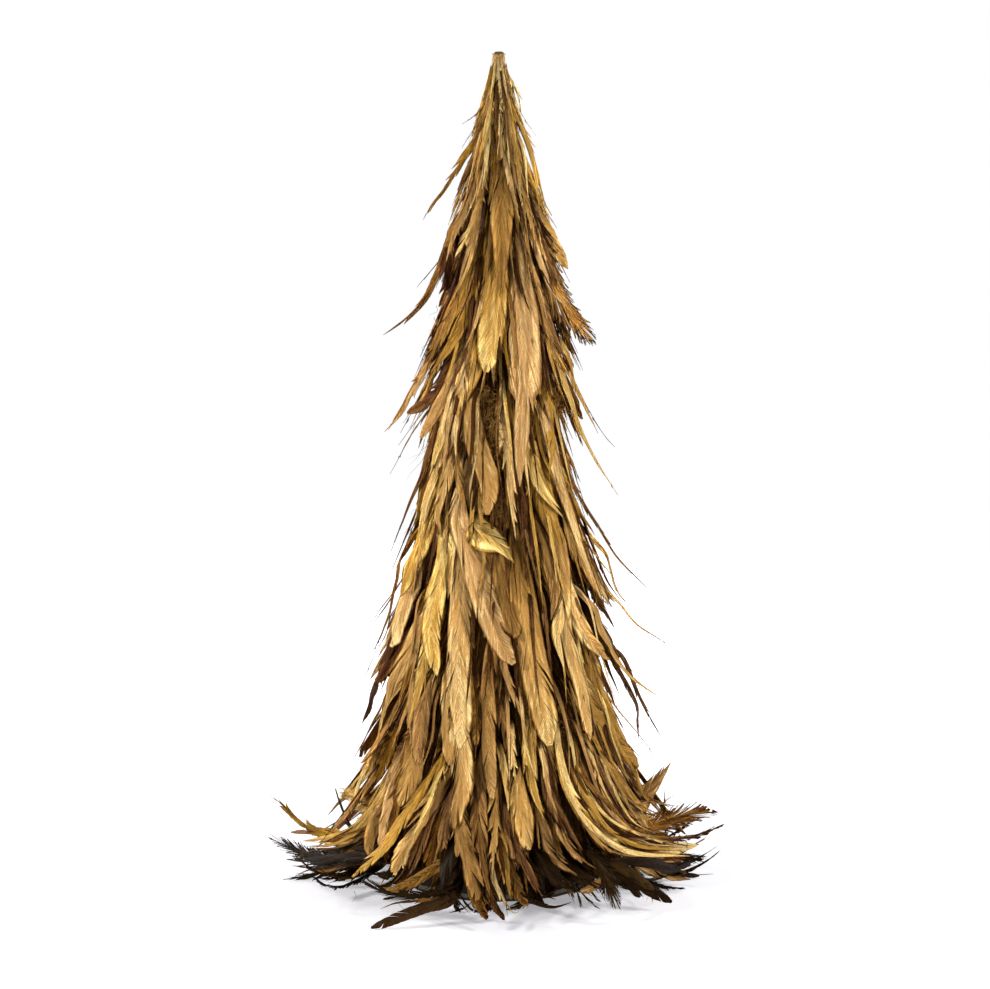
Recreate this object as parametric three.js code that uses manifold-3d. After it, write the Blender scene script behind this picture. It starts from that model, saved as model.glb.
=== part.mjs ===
// A feather Christmas tree for a table top: a solid foam cone on a board disc, dressed from foot to
// tip with rows of rooster feathers. Each row is a ring of feathers sewn to a cord, and a woven
// header tape binds that ring to the cone. The rows nest like stacked cups, the upper ones outside.
// Millimetres, +Z up. The origin is the centre of the felt pad's underside, on the table.
import * as THREE from "three";
import { mergeVertices } from "three/addons/utils/BufferGeometryUtils.js";
import Module from "manifold-3d";

const wasm = await Module();
wasm.setup();

// The whole tree
const treeHeight = 610;
const glueGap = 0.3; // between pieces that are glued or seated on each other

// The solid foam cone
const coneFootRadius = 72;
const coneTipRadius = 3.4;

// The board disc under the cone, and the felt pad under the disc
const baseDiscThickness = 3;
const feltThickness = 1.6;

// The paper wrap over the cone's tip
const wrapThickness = 0.8;
const wrapLength = 12;

// The sewn cord that holds each row's quills, and the tape over it
const cordThickness = 1.2;
const cordWidth = 5;
const tapeThickness = 0.6;
const tapeOverlap = 0.5; // how far the tape stands above the cord

// The rows of gilded feathers, and the natural black skirt under them
const goldRowCount = 12;
const topHeaderDrop = 1; // from the tip wrap's lower edge down to the first header
const skirtHeaderHeight = 46;
const rowSpacingPower = 1.15; // rows stand closer together towards the tip

// Feather sizes
const featherLength = 134; // the longest rows
const featherWidth = 20;
const featherThickness = 1;
const quillWidth = 2.2;
const quillThickness = 0.8;
const shingleLift = 2.2; // how far every second feather rides over its neighbours
const tipKick = 26; // the furthest that a hanging tip stands out, once it is past the row above
const tipRise = 36; // the most that a skirt feather's tip curls up from the table

// Where the feathers meet the table
const tableClearance = 0.5; // under the lowest feathers
const layerRise = 3.2; // from one layer of splayed feathers to the next
const bendHeight = 10; // how softly the feathers turn out along the table

// Detail
const coneSides = 20;
const stationShares = [0.32, 0.62, 0.88];
const widthShares = [0.62, 1, 0.6];
const floorStationShares = [0.3, 0.5, 0.68, 0.88];
const floorWidthShares = [0.58, 0.88, 1, 0.6];
const liftShares = [0.08, 0.32]; // where along a feather its lift starts and is complete

// Each pair is a place down the tree, from the first row at 0 to the skirt at 1, and a value there.
const lastGoldRowShare = 1 - 1 / goldRowCount; // the one whose tips reach the table
const flareShares = [
  [0, 0.3],
  [0.2, 0.42],
  [0.3, 0.44],
  [0.4, 0.34],
  [0.47, 0.32],
  [0.62, 0.42],
  [0.75, 0.48],
  [0.84, 0.6],
  [lastGoldRowShare, 0.78],
  [1, 0.7],
];
const lengthShares = [
  [0, 0.4],
  [0.06, 0.56],
  [0.14, 0.76],
  [0.25, 0.9],
  [0.4, 0.98],
  [0.85, 1],
  [lastGoldRowShare, 0.9],
  [1, 0.96],
];
const featherWidthShares = [
  [0, 0.4],
  [0.15, 0.64],
  [0.35, 0.86],
  [0.6, 1],
  [1, 1],
];
const riseShares = [
  [0, 0],
  [0.85, 0],
  [lastGoldRowShare, 0.6],
  [1, 1],
];
const shortestShares = [
  [0, 0.86],
  [lastGoldRowShare, 0.86],
  [1, 0.66],
]; // the shortest feather of a row, against the row's longest
const crowdShare = 1.1; // feather widths in a row, against the way round it
const leastFeathers = 7;
const measureShare = 0.5; // where along the feather that is counted
const leanShare = 0.35; // the most that a feather leans sideways, in shares of the step between two
const topFreeShare = 0.5; // how much of a top row's feather lies close, with no row above to hold it
const kickPower = 2; // most hanging tips stand out a little, and a few of them a lot
const rowTurnAngle = 1; // radians from one row's first feather to the next row's
const traceSteps = 160; // steps along a feather's path
const scatterStrides = { row: 12.9898, place: 78.233, kind: 37.719 }; // unrelated numbers that mix well
const scatterFactor = 43758.5453;

const coneTop = treeHeight - wrapThickness - glueGap;
const discFoot = feltThickness + glueGap;
const coneFoot = discFoot + baseDiscThickness + glueGap;
const coneSlope = (coneFootRadius - coneTipRadius) / (coneTop - coneFoot);

const coneRadius = (z) => coneTipRadius + coneSlope * (coneTop - z);

// The cone is faceted, so its surface comes in a little between its corners. Feathers follow it.
function facetShare(angle) {
  const facet = (2 * Math.PI) / coneSides;
  const fromMiddle = (((angle % facet) + facet) % facet) - facet / 2;
  return Math.cos(facet / 2) / Math.cos(fromMiddle);
}

// A repeatable number from 0 to 1 for one feather of one row. kind tells apart what it is used for.
const scatterKinds = { length: 1, lean: 2, tip: 3 };
function scatter(row, place, kind) {
  const { row: byRow, place: byPlace, kind: byKind } = scatterStrides;
  const wave = scatterFactor * Math.sin(row * byRow + place * byPlace + scatterKinds[kind] * byKind);
  return wave - Math.floor(wave);
}

// Straight lines between the pairs of a table.
function along(pairs, at) {
  const next = pairs.findIndex(([place]) => place >= at);
  if (next <= 0) return pairs[Math.max(next, 0)][1];
  const [lowPlace, lowValue] = pairs[next - 1];
  const [highPlace, highValue] = pairs[next];
  return lowValue + ((highValue - lowValue) * (at - lowPlace)) / (highPlace - lowPlace);
}

// A ring turned from a closed outline of [radius, height] points, listed anticlockwise.
function turned(outline) {
  const points = [...outline, outline[0]].map(([r, z]) => new THREE.Vector2(r, z));
  return new THREE.LatheGeometry(points, coneSides).rotateX(Math.PI / 2);
}

// A band that follows the cone's surface, between two heights and two distances off the cone.
function coneBand(low, high, inner, outer) {
  return turned([
    [coneRadius(low) + inner, low],
    [coneRadius(low) + outer, low],
    [coneRadius(high) + outer, high],
    [coneRadius(high) + inner, high],
  ]);
}

function solidOf(geometry) {
  const bare = geometry.clone();
  bare.deleteAttribute("normal");
  bare.deleteAttribute("uv");
  const merged = mergeVertices(bare);
  return new wasm.Manifold(
    new wasm.Mesh({
      numProp: 3,
      vertProperties: new Float32Array(merged.attributes.position.array),
      triVerts: new Uint32Array(merged.index.array),
    }),
  );
}

function geometryOf(solid) {
  const mesh = solid.getMesh();
  const geometry = new THREE.BufferGeometry();
  geometry.setAttribute("position", new THREE.BufferAttribute(mesh.vertProperties, 3));
  geometry.setIndex(new THREE.BufferAttribute(mesh.triVerts, 1));
  geometry.computeVertexNormals();
  return geometry;
}

// One row's own sizes. place runs from 0 at the first row to 1 at the skirt.
function rowOf(index) {
  const place = index / goldRowCount;
  const topHeader = coneTop - wrapLength - topHeaderDrop;
  const header = topHeader - (topHeader - skirtHeaderHeight) * place ** rowSpacingPower;
  const layersBelow = goldRowCount - index;
  const lengthShare = along(lengthShares, place);
  return {
    index,
    header,
    cordFoot: header - cordWidth,
    flare: along(flareShares, place),
    length: featherLength * lengthShare,
    shortest: along(shortestShares, place),
    width: featherWidth * along(featherWidthShares, place),
    floor: tableClearance + featherThickness / 2 + layersBelow * layerRise,
    kick: layersBelow > 1 ? tipKick * lengthShare : 0,
    rise: tipRise * along(riseShares, place),
  };
}

// The path of a feather in the plane through the tree's axis: [distance from the axis, height] at each step.
// It follows the cone under the tape, falls outwards at the row's flare, and turns out along the table.
function tracePath(row, length, lift) {
  const step = length / traceSteps;
  const cordMiddle = glueGap + cordThickness / 2;
  const startHeight = row.header - cordWidth / 2;
  const startRadius = coneRadius(startHeight) + cordMiddle;
  const breakRadius = coneRadius(row.cordFoot) + cordMiddle;
  const bendsAbove = (row.cordFoot - row.floor) / bendHeight;
  const straightStart = row.floor + bendHeight * Math.log(Math.expm1(bendsAbove));
  const path = [[startRadius, startHeight]];
  let radius = startRadius;
  let height = startHeight;
  for (let i = 1; i <= traceSteps; i++) {
    if (height > row.cordFoot) {
      const fall = step / Math.hypot(1, coneSlope);
      height -= fall;
      radius += fall * coneSlope;
    } else {
      const straight = straightStart - (radius - breakRadius) / row.flare;
      const aboveFloor = Math.exp((straight - row.floor) / bendHeight);
      const fallPerOut = aboveFloor / (1 + aboveFloor) / row.flare;
      radius += step / Math.hypot(1, fallPerOut);
      height = row.floor + bendHeight * Math.log1p(aboveFloor);
    }
    path.push([radius, height]);
  }
  const [liftStart, liftEnd] = liftShares;
  return path.map(([r, z], i) => {
    const liftShare = (i / traceSteps - liftStart) / (liftEnd - liftStart);
    return [r + lift * Math.min(1, Math.max(0, liftShare)), z];
  });
}

// Where a feather comes out from under the row above, as a share of its path.
function freeShareOf(row, path) {
  if (row.index === 0) return topFreeShare;
  const above = rowOf(row.index - 1);
  const [beforeTip, tip] = tracePath(above, above.length, 0).slice(-2);
  const lastStep = Math.hypot(tip[0] - beforeTip[0], tip[1] - beforeTip[1]);
  const outward = (tip[0] - beforeTip[0]) / lastStep;
  const upward = (tip[1] - beforeTip[1]) / lastStep;
  const free = path.findIndex(([r, z]) => (r - tip[0]) * outward + (z - tip[1]) * upward > layerRise);
  return free < 0 ? 1 : free / traceSteps;
}

// The path with its free end bent: outwards for a hanging tip, and up for one on the table.
function bentPath(row, length, lift, bend) {
  const path = tracePath(row, length, lift);
  const freeShare = freeShareOf(row, path);
  return path.map(([r, z], i) => {
    const past = i / traceSteps - freeShare;
    const bent = past > 0 ? bend * (past / (1 - freeShare)) ** 2 : 0;
    return [r + row.kick * bent, z + row.rise * bent];
  });
}

// One feather: a thin leaf with a ridge down its middle, four corners at each station and a point at its tip.
function feather(row, turn, lean, length, lift, bend) {
  const path = bentPath(row, length, lift, bend);
  const reachesTable = path[traceSteps][1] < row.floor + 2 * bendHeight;
  const shares = reachesTable ? floorStationShares : stationShares;
  const widths = reachesTable ? floorWidthShares : widthShares;
  const stations = [
    { share: 0, width: quillWidth, thickness: quillThickness },
    { share: (cordWidth / 2 + glueGap) / length, width: quillWidth, thickness: quillThickness },
    ...shares.map((share, i) => ({
      share,
      width: row.width * widths[i],
      thickness: featherThickness,
    })),
  ];
  const pointAt = (share) => path[Math.round(share * traceSteps)];
  const turnAt = (share) => turn + lean * share;
  const place = (r, z, angle) => [r * Math.cos(angle), r * Math.sin(angle), z];
  const vertices = [];
  for (const { share, width, thickness } of stations) {
    const angle = turnAt(share);
    const [pathRadius, z] = pointAt(share);
    const r = pathRadius * facetShare(angle);
    const before = path[Math.max(0, Math.round(share * traceSteps) - 1)];
    const after = path[Math.min(traceSteps, Math.round(share * traceSteps) + 1)];
    const slant = Math.hypot(after[0] - before[0], after[1] - before[1]);
    const outward = (-(after[1] - before[1]) / slant) * (thickness / 2);
    const upward = ((after[0] - before[0]) / slant) * (thickness / 2);
    const half = width / 2 / r;
    vertices.push(place(r, z, angle - half));
    vertices.push(place(r + outward, z + upward, angle));
    vertices.push(place(r, z, angle + half));
    vertices.push(place(r - outward, z - upward, angle));
  }
  vertices.push(place(...pointAt(1), turnAt(1)));
  const cornerCount = 4;
  const last = (stations.length - 1) * cornerCount;
  const tip = stations.length * cornerCount;
  const faces = [0, 1, 2, 0, 2, 3];
  for (let s = 0; s < last; s += cornerCount) {
    for (let c = 0; c < cornerCount; c++) {
      const next = (c + 1) % cornerCount;
      faces.push(s + c, s + cornerCount + c, s + cornerCount + next);
      faces.push(s + c, s + cornerCount + next, s + next);
    }
  }
  for (let c = 0; c < cornerCount; c++) faces.push(last + c, tip, last + ((c + 1) % cornerCount));
  const geometry = new THREE.BufferGeometry();
  geometry.setAttribute("position", new THREE.Float32BufferAttribute(vertices.flat(), 3));
  geometry.setIndex(faces);
  return geometry;
}

// A whole row: its sewn cord with every feather joined to it.
function featherRow(row) {
  const [measuredRadius] = tracePath(row, row.length, 0)[Math.round(measureShare * traceSteps)];
  const wayRound = 2 * Math.PI * measuredRadius;
  const fitting = Math.round((crowdShare * wayRound) / row.width);
  const count = Math.max(leastFeathers, fitting);
  const step = (2 * Math.PI) / count;
  let joined = solidOf(coneBand(row.cordFoot, row.header, glueGap, glueGap + cordThickness));
  for (let i = 0; i < count; i++) {
    const length = row.length * (row.shortest + (1 - row.shortest) * scatter(row.index, i, "length"));
    const lean = step * leanShare * (2 * scatter(row.index, i, "lean") - 1);
    const lift = i % 2 ? shingleLift * (row.length / featherLength) : 0;
    const turn = i * step + row.index * rowTurnAngle;
    const bend = scatter(row.index, i, "tip") ** (row.kick ? kickPower : 1);
    joined = joined.add(solidOf(feather(row, turn, lean, length, lift, bend)));
  }
  return geometryOf(joined);
}

function headerTape(row) {
  const inner = glueGap + cordThickness + glueGap;
  return coneBand(row.cordFoot, row.header + tapeOverlap, inner, inner + tapeThickness);
}

// A solid of revolution between two heights, with its own radius at each.
function turnedBlock(low, lowRadius, high, highRadius) {
  return turned([
    [0, low],
    [lowRadius, low],
    [highRadius, high],
    [0, high],
  ]);
}

// A paper sleeve round the cone's tip, folded closed over its flat end.
function tipWrap() {
  const low = coneTop - wrapLength;
  const closed = coneTop + glueGap;
  const inside = coneTipRadius + glueGap;
  const outside = inside + wrapThickness;
  return turned([
    [coneRadius(low) + glueGap, low],
    [coneRadius(low) + glueGap + wrapThickness, low],
    [outside, treeHeight],
    [0, treeHeight],
    [0, closed],
    [inside, closed],
  ]);
}

// Materials
const paintedFoam = new THREE.MeshStandardMaterial({ color: "#4a3822", roughness: 0.9, metalness: 0 });
const greyBoard = new THREE.MeshStandardMaterial({ color: "#7d776c", roughness: 0.95, metalness: 0 });
const brownFelt = new THREE.MeshStandardMaterial({ color: "#4a3a26", roughness: 1, metalness: 0 });
const goldPaper = new THREE.MeshStandardMaterial({ color: "#a5803f", roughness: 0.5, metalness: 0.5 });
const brownTape = new THREE.MeshStandardMaterial({ color: "#4b3317", roughness: 0.9, metalness: 0 });
const gildedFeather = new THREE.MeshStandardMaterial({ color: "#b0853a", roughness: 0.45, metalness: 0.6 });
const blackFeather = new THREE.MeshStandardMaterial({ color: "#1d1714", roughness: 0.5, metalness: 0 });

const tree = new THREE.Group();

function addPiece(name, geometry, material) {
  const mesh = new THREE.Mesh(geometry, material);
  mesh.name = name;
  tree.add(mesh);
}

addPiece("foam_cone", turnedBlock(coneFoot, coneFootRadius, coneTop, coneTipRadius), paintedFoam);
addPiece("base_disc", turnedBlock(discFoot, coneFootRadius, coneFoot - glueGap, coneFootRadius), greyBoard);
addPiece("felt_pad", turnedBlock(0, coneFootRadius, feltThickness, coneFootRadius), brownFelt);
addPiece("tip_wrap", tipWrap(), goldPaper);
for (let i = 0; i < goldRowCount; i++) {
  const number = String(i + 1).padStart(2, "0");
  addPiece("header_tape_" + number, headerTape(rowOf(i)), brownTape);
  addPiece("feather_row_" + number, featherRow(rowOf(i)), gildedFeather);
}
addPiece("skirt_tape", headerTape(rowOf(goldRowCount)), brownTape);
addPiece("black_feather_skirt", featherRow(rowOf(goldRowCount)), blackFeather);

export default tree;
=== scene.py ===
# %% [markdown]
# A feather Christmas tree for a table top. A foam cone carries twelve rows of gold-sprayed rooster
# feathers and, under them, a skirt of natural black ones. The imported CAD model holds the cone, the
# board disc, the felt, the tapes and a plain solid for each row. This file keeps the hidden parts and
# dresses each row with real feather shapes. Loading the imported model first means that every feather
# below grows from a tape that is already in its true place.

import math

import bpy
import numpy as np
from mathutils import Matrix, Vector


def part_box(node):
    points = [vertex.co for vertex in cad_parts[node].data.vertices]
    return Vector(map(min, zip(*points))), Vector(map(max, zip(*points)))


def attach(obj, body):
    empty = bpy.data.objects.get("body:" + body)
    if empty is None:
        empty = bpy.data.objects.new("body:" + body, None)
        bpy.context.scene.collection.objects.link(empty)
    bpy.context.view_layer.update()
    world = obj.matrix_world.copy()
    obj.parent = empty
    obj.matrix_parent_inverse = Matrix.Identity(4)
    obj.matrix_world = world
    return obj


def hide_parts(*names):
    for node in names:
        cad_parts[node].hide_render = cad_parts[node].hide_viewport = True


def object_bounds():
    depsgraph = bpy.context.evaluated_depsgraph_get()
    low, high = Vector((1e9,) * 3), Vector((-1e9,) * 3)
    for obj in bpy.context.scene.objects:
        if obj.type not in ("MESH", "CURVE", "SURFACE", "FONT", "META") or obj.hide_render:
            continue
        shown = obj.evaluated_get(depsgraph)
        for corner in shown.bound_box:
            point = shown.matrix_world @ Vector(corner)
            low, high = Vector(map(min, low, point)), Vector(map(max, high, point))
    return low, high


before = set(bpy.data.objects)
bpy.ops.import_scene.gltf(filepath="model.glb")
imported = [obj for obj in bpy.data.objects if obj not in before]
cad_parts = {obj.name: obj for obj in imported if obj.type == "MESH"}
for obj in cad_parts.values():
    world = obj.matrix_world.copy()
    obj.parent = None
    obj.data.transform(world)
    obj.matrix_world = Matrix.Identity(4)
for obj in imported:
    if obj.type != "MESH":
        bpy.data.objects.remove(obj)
cad_box = [list(corner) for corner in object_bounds()]
mm = 0.001
tree_height = (cad_box[1][2] - cad_box[0][2]) / mm
print("CAD nodes:", len(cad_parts), "tree height in mm:", round(tree_height, 1))

# %% [markdown]
# The camera stands where the photographer stood: well away with a long lens, about level with the tip
# of the tree, and tipped eight degrees down. It comes first because the feathers on the front are laid
# along lines of sight. A camera that only roughly agrees would put each of them a few millimetres off.

# %% Camera
photo_wide = 990
photo_high = 989
sensor_wide_mm = 36
focal_pixels = 3023
camera_spot = np.array([-2.6, -2200.0, 600.0])  # millimetres
camera_pitch = math.radians(8.07)

camera_data = bpy.data.cameras.new("photo_camera")
camera_data.sensor_width = sensor_wide_mm
camera_data.lens = focal_pixels * sensor_wide_mm / photo_wide
camera = bpy.data.objects.new("photo_camera", camera_data)
camera.location = camera_spot * mm
camera.rotation_euler = (math.pi / 2 - camera_pitch, 0, 0)
bpy.context.scene.collection.objects.link(camera)
bpy.context.scene.camera = camera
print("lens in mm:", round(camera_data.lens, 1))

# %% [markdown]
# Where does a point of the photograph lie on the tree? The tree is roughly round, so its outline
# gives the answer: follow the line of sight until it meets the outline turned about the axis. A line
# that misses the tree is stopped beside the axis, which is where a feather seen against the
# background hangs. Each pair below is a height and the reach there, both as shares of the tree's height.

# %% From a point of the photograph to a point on the tree
outline_shares = np.array([
    (0.0, 0.262), (0.025, 0.25), (0.05, 0.226), (0.098, 0.184), (0.146, 0.162), (0.2, 0.157),
    (0.27, 0.147), (0.343, 0.138), (0.39, 0.118), (0.44, 0.102), (0.5, 0.093), (0.56, 0.106),
    (0.625, 0.097), (0.69, 0.088), (0.76, 0.073), (0.807, 0.057), (0.83, 0.052), (0.903, 0.034),
    (0.977, 0.0135), (1.0, 0.01),
])
table_clearance = 0.6
sight_step = 0.5
nearest_reach = 230


def outline_reach(height):
    shares = np.interp(np.asarray(height) / tree_height, outline_shares[:, 0], outline_shares[:, 1])
    return shares * tree_height


def spot_on_tree(pixel, proud):
    across = (pixel[0] - photo_wide / 2) / focal_pixels
    up = (photo_high / 2 - pixel[1]) / focal_pixels
    cosine, sine = math.cos(camera_pitch), math.sin(camera_pitch)
    way = np.array([across, cosine + up * sine, up * cosine - sine])
    depths = np.arange(-nearest_reach, sight_step, sight_step)
    spots = camera_spot + np.outer((depths - camera_spot[1]) / way[1], way)
    met = np.hypot(spots[:, 0], spots[:, 1]) <= outline_reach(spots[:, 2]) + proud
    met |= spots[:, 2] <= table_clearance
    met[-1] = True
    return spots[np.argmax(met)]


print("a spot half way up, in mm:", np.round(spot_on_tree((500, 500), 0), 1))

# %% [markdown]
# A feather hangs along a smooth line. It could be a Bezier curve object, but a plain array of points
# is easier to hang barbs on, so a Catmull-Rom curve goes through a few chosen points and is then
# divided evenly.

# %% Smooth paths
curve_steps = 10
spine_steps = 48


def unit(vectors):
    return vectors / np.maximum(np.linalg.norm(vectors, axis=-1, keepdims=True), 1e-9)


def smooth_path(points):
    points = np.asarray(points, float)
    ends = [2 * points[0] - points[1]], [2 * points[-1] - points[-2]]
    around = np.vstack([ends[0], points, ends[1]])
    share = np.linspace(0, 1, curve_steps, endpoint=False)[:, None]
    stretches = []
    for before, start, end, after in zip(around, around[1:], around[2:], around[3:]):
        bend = 2 * before - 5 * start + 4 * end - after
        swing = 3 * start - before - 3 * end + after
        stretches.append(start + ((end - before) * share + bend * share**2 + swing * share**3) / 2)
    fine = np.vstack([*stretches, points[-1:]])
    reached = np.concatenate([[0], np.cumsum(np.linalg.norm(np.diff(fine, axis=0), axis=1))])
    wanted = np.linspace(0, reached[-1], spine_steps)
    even = np.stack([np.interp(wanted, reached, fine[:, axis]) for axis in range(3)], axis=1)
    return even, reached[-1]


trial_points = [(0, -40, 130), (0, -60, 60), (0, -65, 0)]
trial_path, trial_length = smooth_path(trial_points)
print("a trial path in mm:", round(trial_length, 1))

# %% [markdown]
# At each step along its line a feather also needs to know which way its flat side faces. Feathers lie
# on the tree like tiles, so that is away from the tree and a little upwards, square to the feather's
# own line. A feather can be turned about its line too, or more towards the camera.

# %% The way a feather faces
upward_pull = 0.3
upward_share = 0.5
off_axis = np.array([0, -1e-3, 0])  # a point on the axis itself would have no way out
to_camera = np.array([0, -1, 0.14])


def facing(spine, turn, towards_camera):
    along = unit(np.gradient(spine, axis=0))
    out = unit(spine * [1, 1, 0] + off_axis)
    round_tree = np.stack([-out[:, 1], out[:, 0], np.zeros(len(out))], axis=1)
    face = np.cross(along, round_tree) + upward_pull * (out + [0, 0, upward_share])
    face += towards_camera * to_camera
    face = unit(face - along * np.sum(face * along, axis=1, keepdims=True))
    side = np.cross(along, face)
    cosine, sine = np.cos(turn)[:, None], np.sin(turn)[:, None]
    return along, face * cosine + side * sine, side * cosine - face * sine


trial_face = facing(trial_path, np.zeros(spine_steps), 0)[1]
print("the trial path's root faces:", np.round(trial_face[0], 2))

# %% [markdown]
# All the feathers of one row are one mesh, because they are sewn to one cord. This small class gathers
# their points and faces. Besides a place, each point carries two notes that the material reads:
# where it sits on its barb (for the fine streaks), and how its feather was coloured and sprayed. Each
# side of each feather also gets a plot of its own on one flat map, so that the finish can be baked.

# %% One mesh for many feathers
plot_fill_share = 0.94
plots_per_column = 5  # a feather is about this many times as long as it is wide
corners = 4  # of every face


class Bundle:
    def __init__(self, name, seed):
        self.name = name
        self.chance = np.random.default_rng(seed)
        self.point_count = 0
        self.plot_count = 0
        self.feathers = 0
        self.points, self.barbs, self.finish = [], [], []
        self.faces, self.map_spots, self.plots, self.rounded = [], [], [], []

    def add(self, points, barbs, finish, faces, map_spots, plot, rounded):
        self.points.append(points)
        self.barbs.append(barbs)
        self.finish.append(finish)
        self.faces.append(faces + self.point_count)
        self.map_spots.append(map_spots)
        self.plots.append(np.broadcast_to(plot, len(faces)))
        self.rounded.append(np.broadcast_to(rounded, len(faces)))
        self.point_count += len(points)

    def corners_on_map(self):
        across = max(1, math.ceil(math.sqrt(self.plot_count * plots_per_column)))
        down = max(1, math.ceil(self.plot_count / across))
        plots = np.concatenate(self.plots)
        plot_corner = np.stack([plots % across, plots // across], axis=1)[:, None, :]
        inside = (np.concatenate(self.map_spots) - 0.5) * plot_fill_share
        return (plot_corner + 0.5 + inside) / [across, down]

    def to_object(self, material, slot, replaces):
        points = np.vstack(self.points)
        points[:, 2] = np.maximum(points[:, 2], table_clearance / 2)
        faces = np.vstack(self.faces)
        mesh = bpy.data.meshes.new(self.name)
        mesh.vertices.add(len(points))
        mesh.vertices.foreach_set("co", (points * mm).ravel())
        mesh.loops.add(faces.size)
        mesh.loops.foreach_set("vertex_index", faces.ravel())
        mesh.polygons.add(len(faces))
        mesh.polygons.foreach_set("loop_start", np.arange(len(faces)) * corners)
        mesh.polygons.foreach_set("use_smooth", np.concatenate(self.rounded))
        for name, notes in (("barbs", self.barbs), ("finish", self.finish)):
            attribute = mesh.attributes.new(name, "FLOAT_VECTOR", "POINT")
            attribute.data.foreach_set("vector", np.vstack(notes).ravel())
        mesh.uv_layers.new(name="OFBake").data.foreach_set("uv", self.corners_on_map().ravel())
        mesh.update(calc_edges=True)
        mesh.materials.append(material)
        piece = bpy.data.objects.new(self.name, mesh)
        bpy.context.scene.collection.objects.link(piece)
        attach(piece, "root")
        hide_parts(replaces)
        print(self.name, "feathers and barbs:", self.feathers, "faces:", len(faces))


trial = Bundle("trial_feather", 1)
print("a new bundle holds feathers:", trial.feathers)

# %% [markdown]
# A vane is not a cut sheet: it is hundreds of barbs that leave the rachis at a slant and hold on to each
# other. Modelling every one is too heavy, and a flat card shows no splits. Between the two, each mesh
# line here follows a barb, so where neighbours let go the mesh opens in the slanting V that real
# feathers show. The outlines are half widths at places from root to tip, as shares.

# %% The shapes of a vane
outline_kinds = {
    "round": [(0, 0.1), (0.15, 0.5), (0.35, 0.85), (0.58, 1), (0.76, 0.97), (0.88, 0.8), (0.95, 0.55),
              (1, 0.05)],
    "point": [(0, 0.1), (0.15, 0.55), (0.3, 0.85), (0.45, 1), (0.62, 0.9), (0.78, 0.64), (0.9, 0.34),
              (1, 0.02)],
    "blunt": [(0, 0.1), (0.18, 0.5), (0.38, 0.85), (0.6, 1), (0.8, 1), (0.9, 0.86), (0.96, 0.62),
              (1, 0.2)],
    "blade": [(0, 0.2), (0.1, 0.6), (0.28, 0.95), (0.5, 1), (0.72, 0.75), (0.88, 0.4), (1, 0.02)],
    "forked": [(0, 0.1), (0.2, 0.6), (0.4, 0.95), (0.66, 1), (0.7, 0.95), (0.73, 0.52), (0.84, 0.5),
               (0.93, 0.3), (1, 0.02)],
    "shell": [(0, 0.05), (0.4, 0.1), (0.5, 0.75), (0.58, 1), (0.68, 0.9), (0.78, 0.58), (0.9, 0.22),
              (1, 0.02)],
}


def outline_of(kind, shares):
    places, widths = np.array(outline_kinds[kind]).T
    return np.interp(shares, places, widths)


print("outlines:", ", ".join(outline_kinds))

# %% [markdown]
# How many barbs does a feather get? A mesh line every 2.4 mm is enough for the broad ones that show,
# and 4.2 mm for the thousand others. A frayed feather's barbs have all let go near the tip, so it gets
# one almost every millimetre. Its shaft ends early and the last barbs run on side by side like a brush.

# %% Lines of barbs
barb_shares = np.array([0, 0.3, 0.6, 0.84, 1])
columns = len(barb_shares)
barb_slant = 3.0  # a barb runs this many times its reach towards the tip
most_slant_share = 0.3
frayed_shaft = 0.86
barb_spacings = {"plain": 4.2, "fine": 2.4, "frayed": 0.9}
most_barbs = {"plain": 32, "fine": 64, "frayed": 130}
fewest_barbs = 10


def barb_lines(length, width, frayed, fine):
    grade = "frayed" if frayed else "fine" if fine else "plain"
    count = int(np.clip(length / barb_spacings[grade], fewest_barbs, most_barbs[grade]))
    roots = np.linspace(0, 1, count)
    slant = min(most_slant_share, barb_slant * width / 2 / length)
    if frayed:
        shaft = roots * frayed_shaft
        return shaft, shaft + slant + (1 - frayed_shaft - slant) * roots**4, length / count
    return roots, roots + slant * (1 - roots**4), length / count


print("barbs on a trial path:", len(barb_lines(trial_length, 20, False, True)[0]))

# %% [markdown]
# Which barbs let go, and from where? A tear starts part of the way out along a barb. Real edges are also
# ragged, the more so towards the tip, and the barbs between two tears keep together as one group, so
# each group gets a width of its own.

# %% Tears and ragged edges
whole_at_root = 3  # barbs that never tear
whole_at_tip = 2
fewest_to_tear = 8
never_torn = 6
worn_from = (0.3, 0.5)  # shares of a frayed feather's length
frayed_holds = [2, 3, 3, 4]  # columns of the mesh where a frayed barb still holds
ragged_rise = 1.6
ragged_start = 0.5
least_ragged = 0.2


def tear_barbs(chance, count, ends, tears, frayed):
    loose_from = np.full(count, columns)
    if frayed:
        worn = ends > chance.uniform(*worn_from)
        loose_from[worn] = chance.choice(frayed_holds, worn.sum())
    elif tears and count > fewest_to_tear:
        places = np.arange(whole_at_root, count - whole_at_tip)
        torn = chance.choice(places, min(tears, count - never_torn), replace=False)
        loose_from[torn] = chance.integers(1, columns - 1, len(torn))
    loose_from[[0, -1]] = columns
    return loose_from


def half_widths(chance, width, kind, ends, loose_from, ragged):
    half = width / 2 * outline_of(kind, ends)
    more_at_tip = np.clip(ends * ragged_rise - ragged_start, least_ragged, 1)
    half *= 1 - ragged * chance.random(len(ends)) * more_at_tip
    groups = np.cumsum(loose_from < columns)
    return half * chance.uniform(1 - ragged, 1, groups[-1] + 1)[groups]


trial_holds = tear_barbs(np.random.default_rng(1), 30, np.linspace(0, 1, 30), 4, False)
print("torn barbs of 30:", int(np.sum(trial_holds < columns)))

# %% [markdown]
# Where a barb lets go of the next one it gets two sets of outer points, moved apart, and a tear also
# pushes the barbs beside it away, which opens it to a V. Loose ends stand off the vane a little, and
# frayed ones differ in length and sway.

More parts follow.
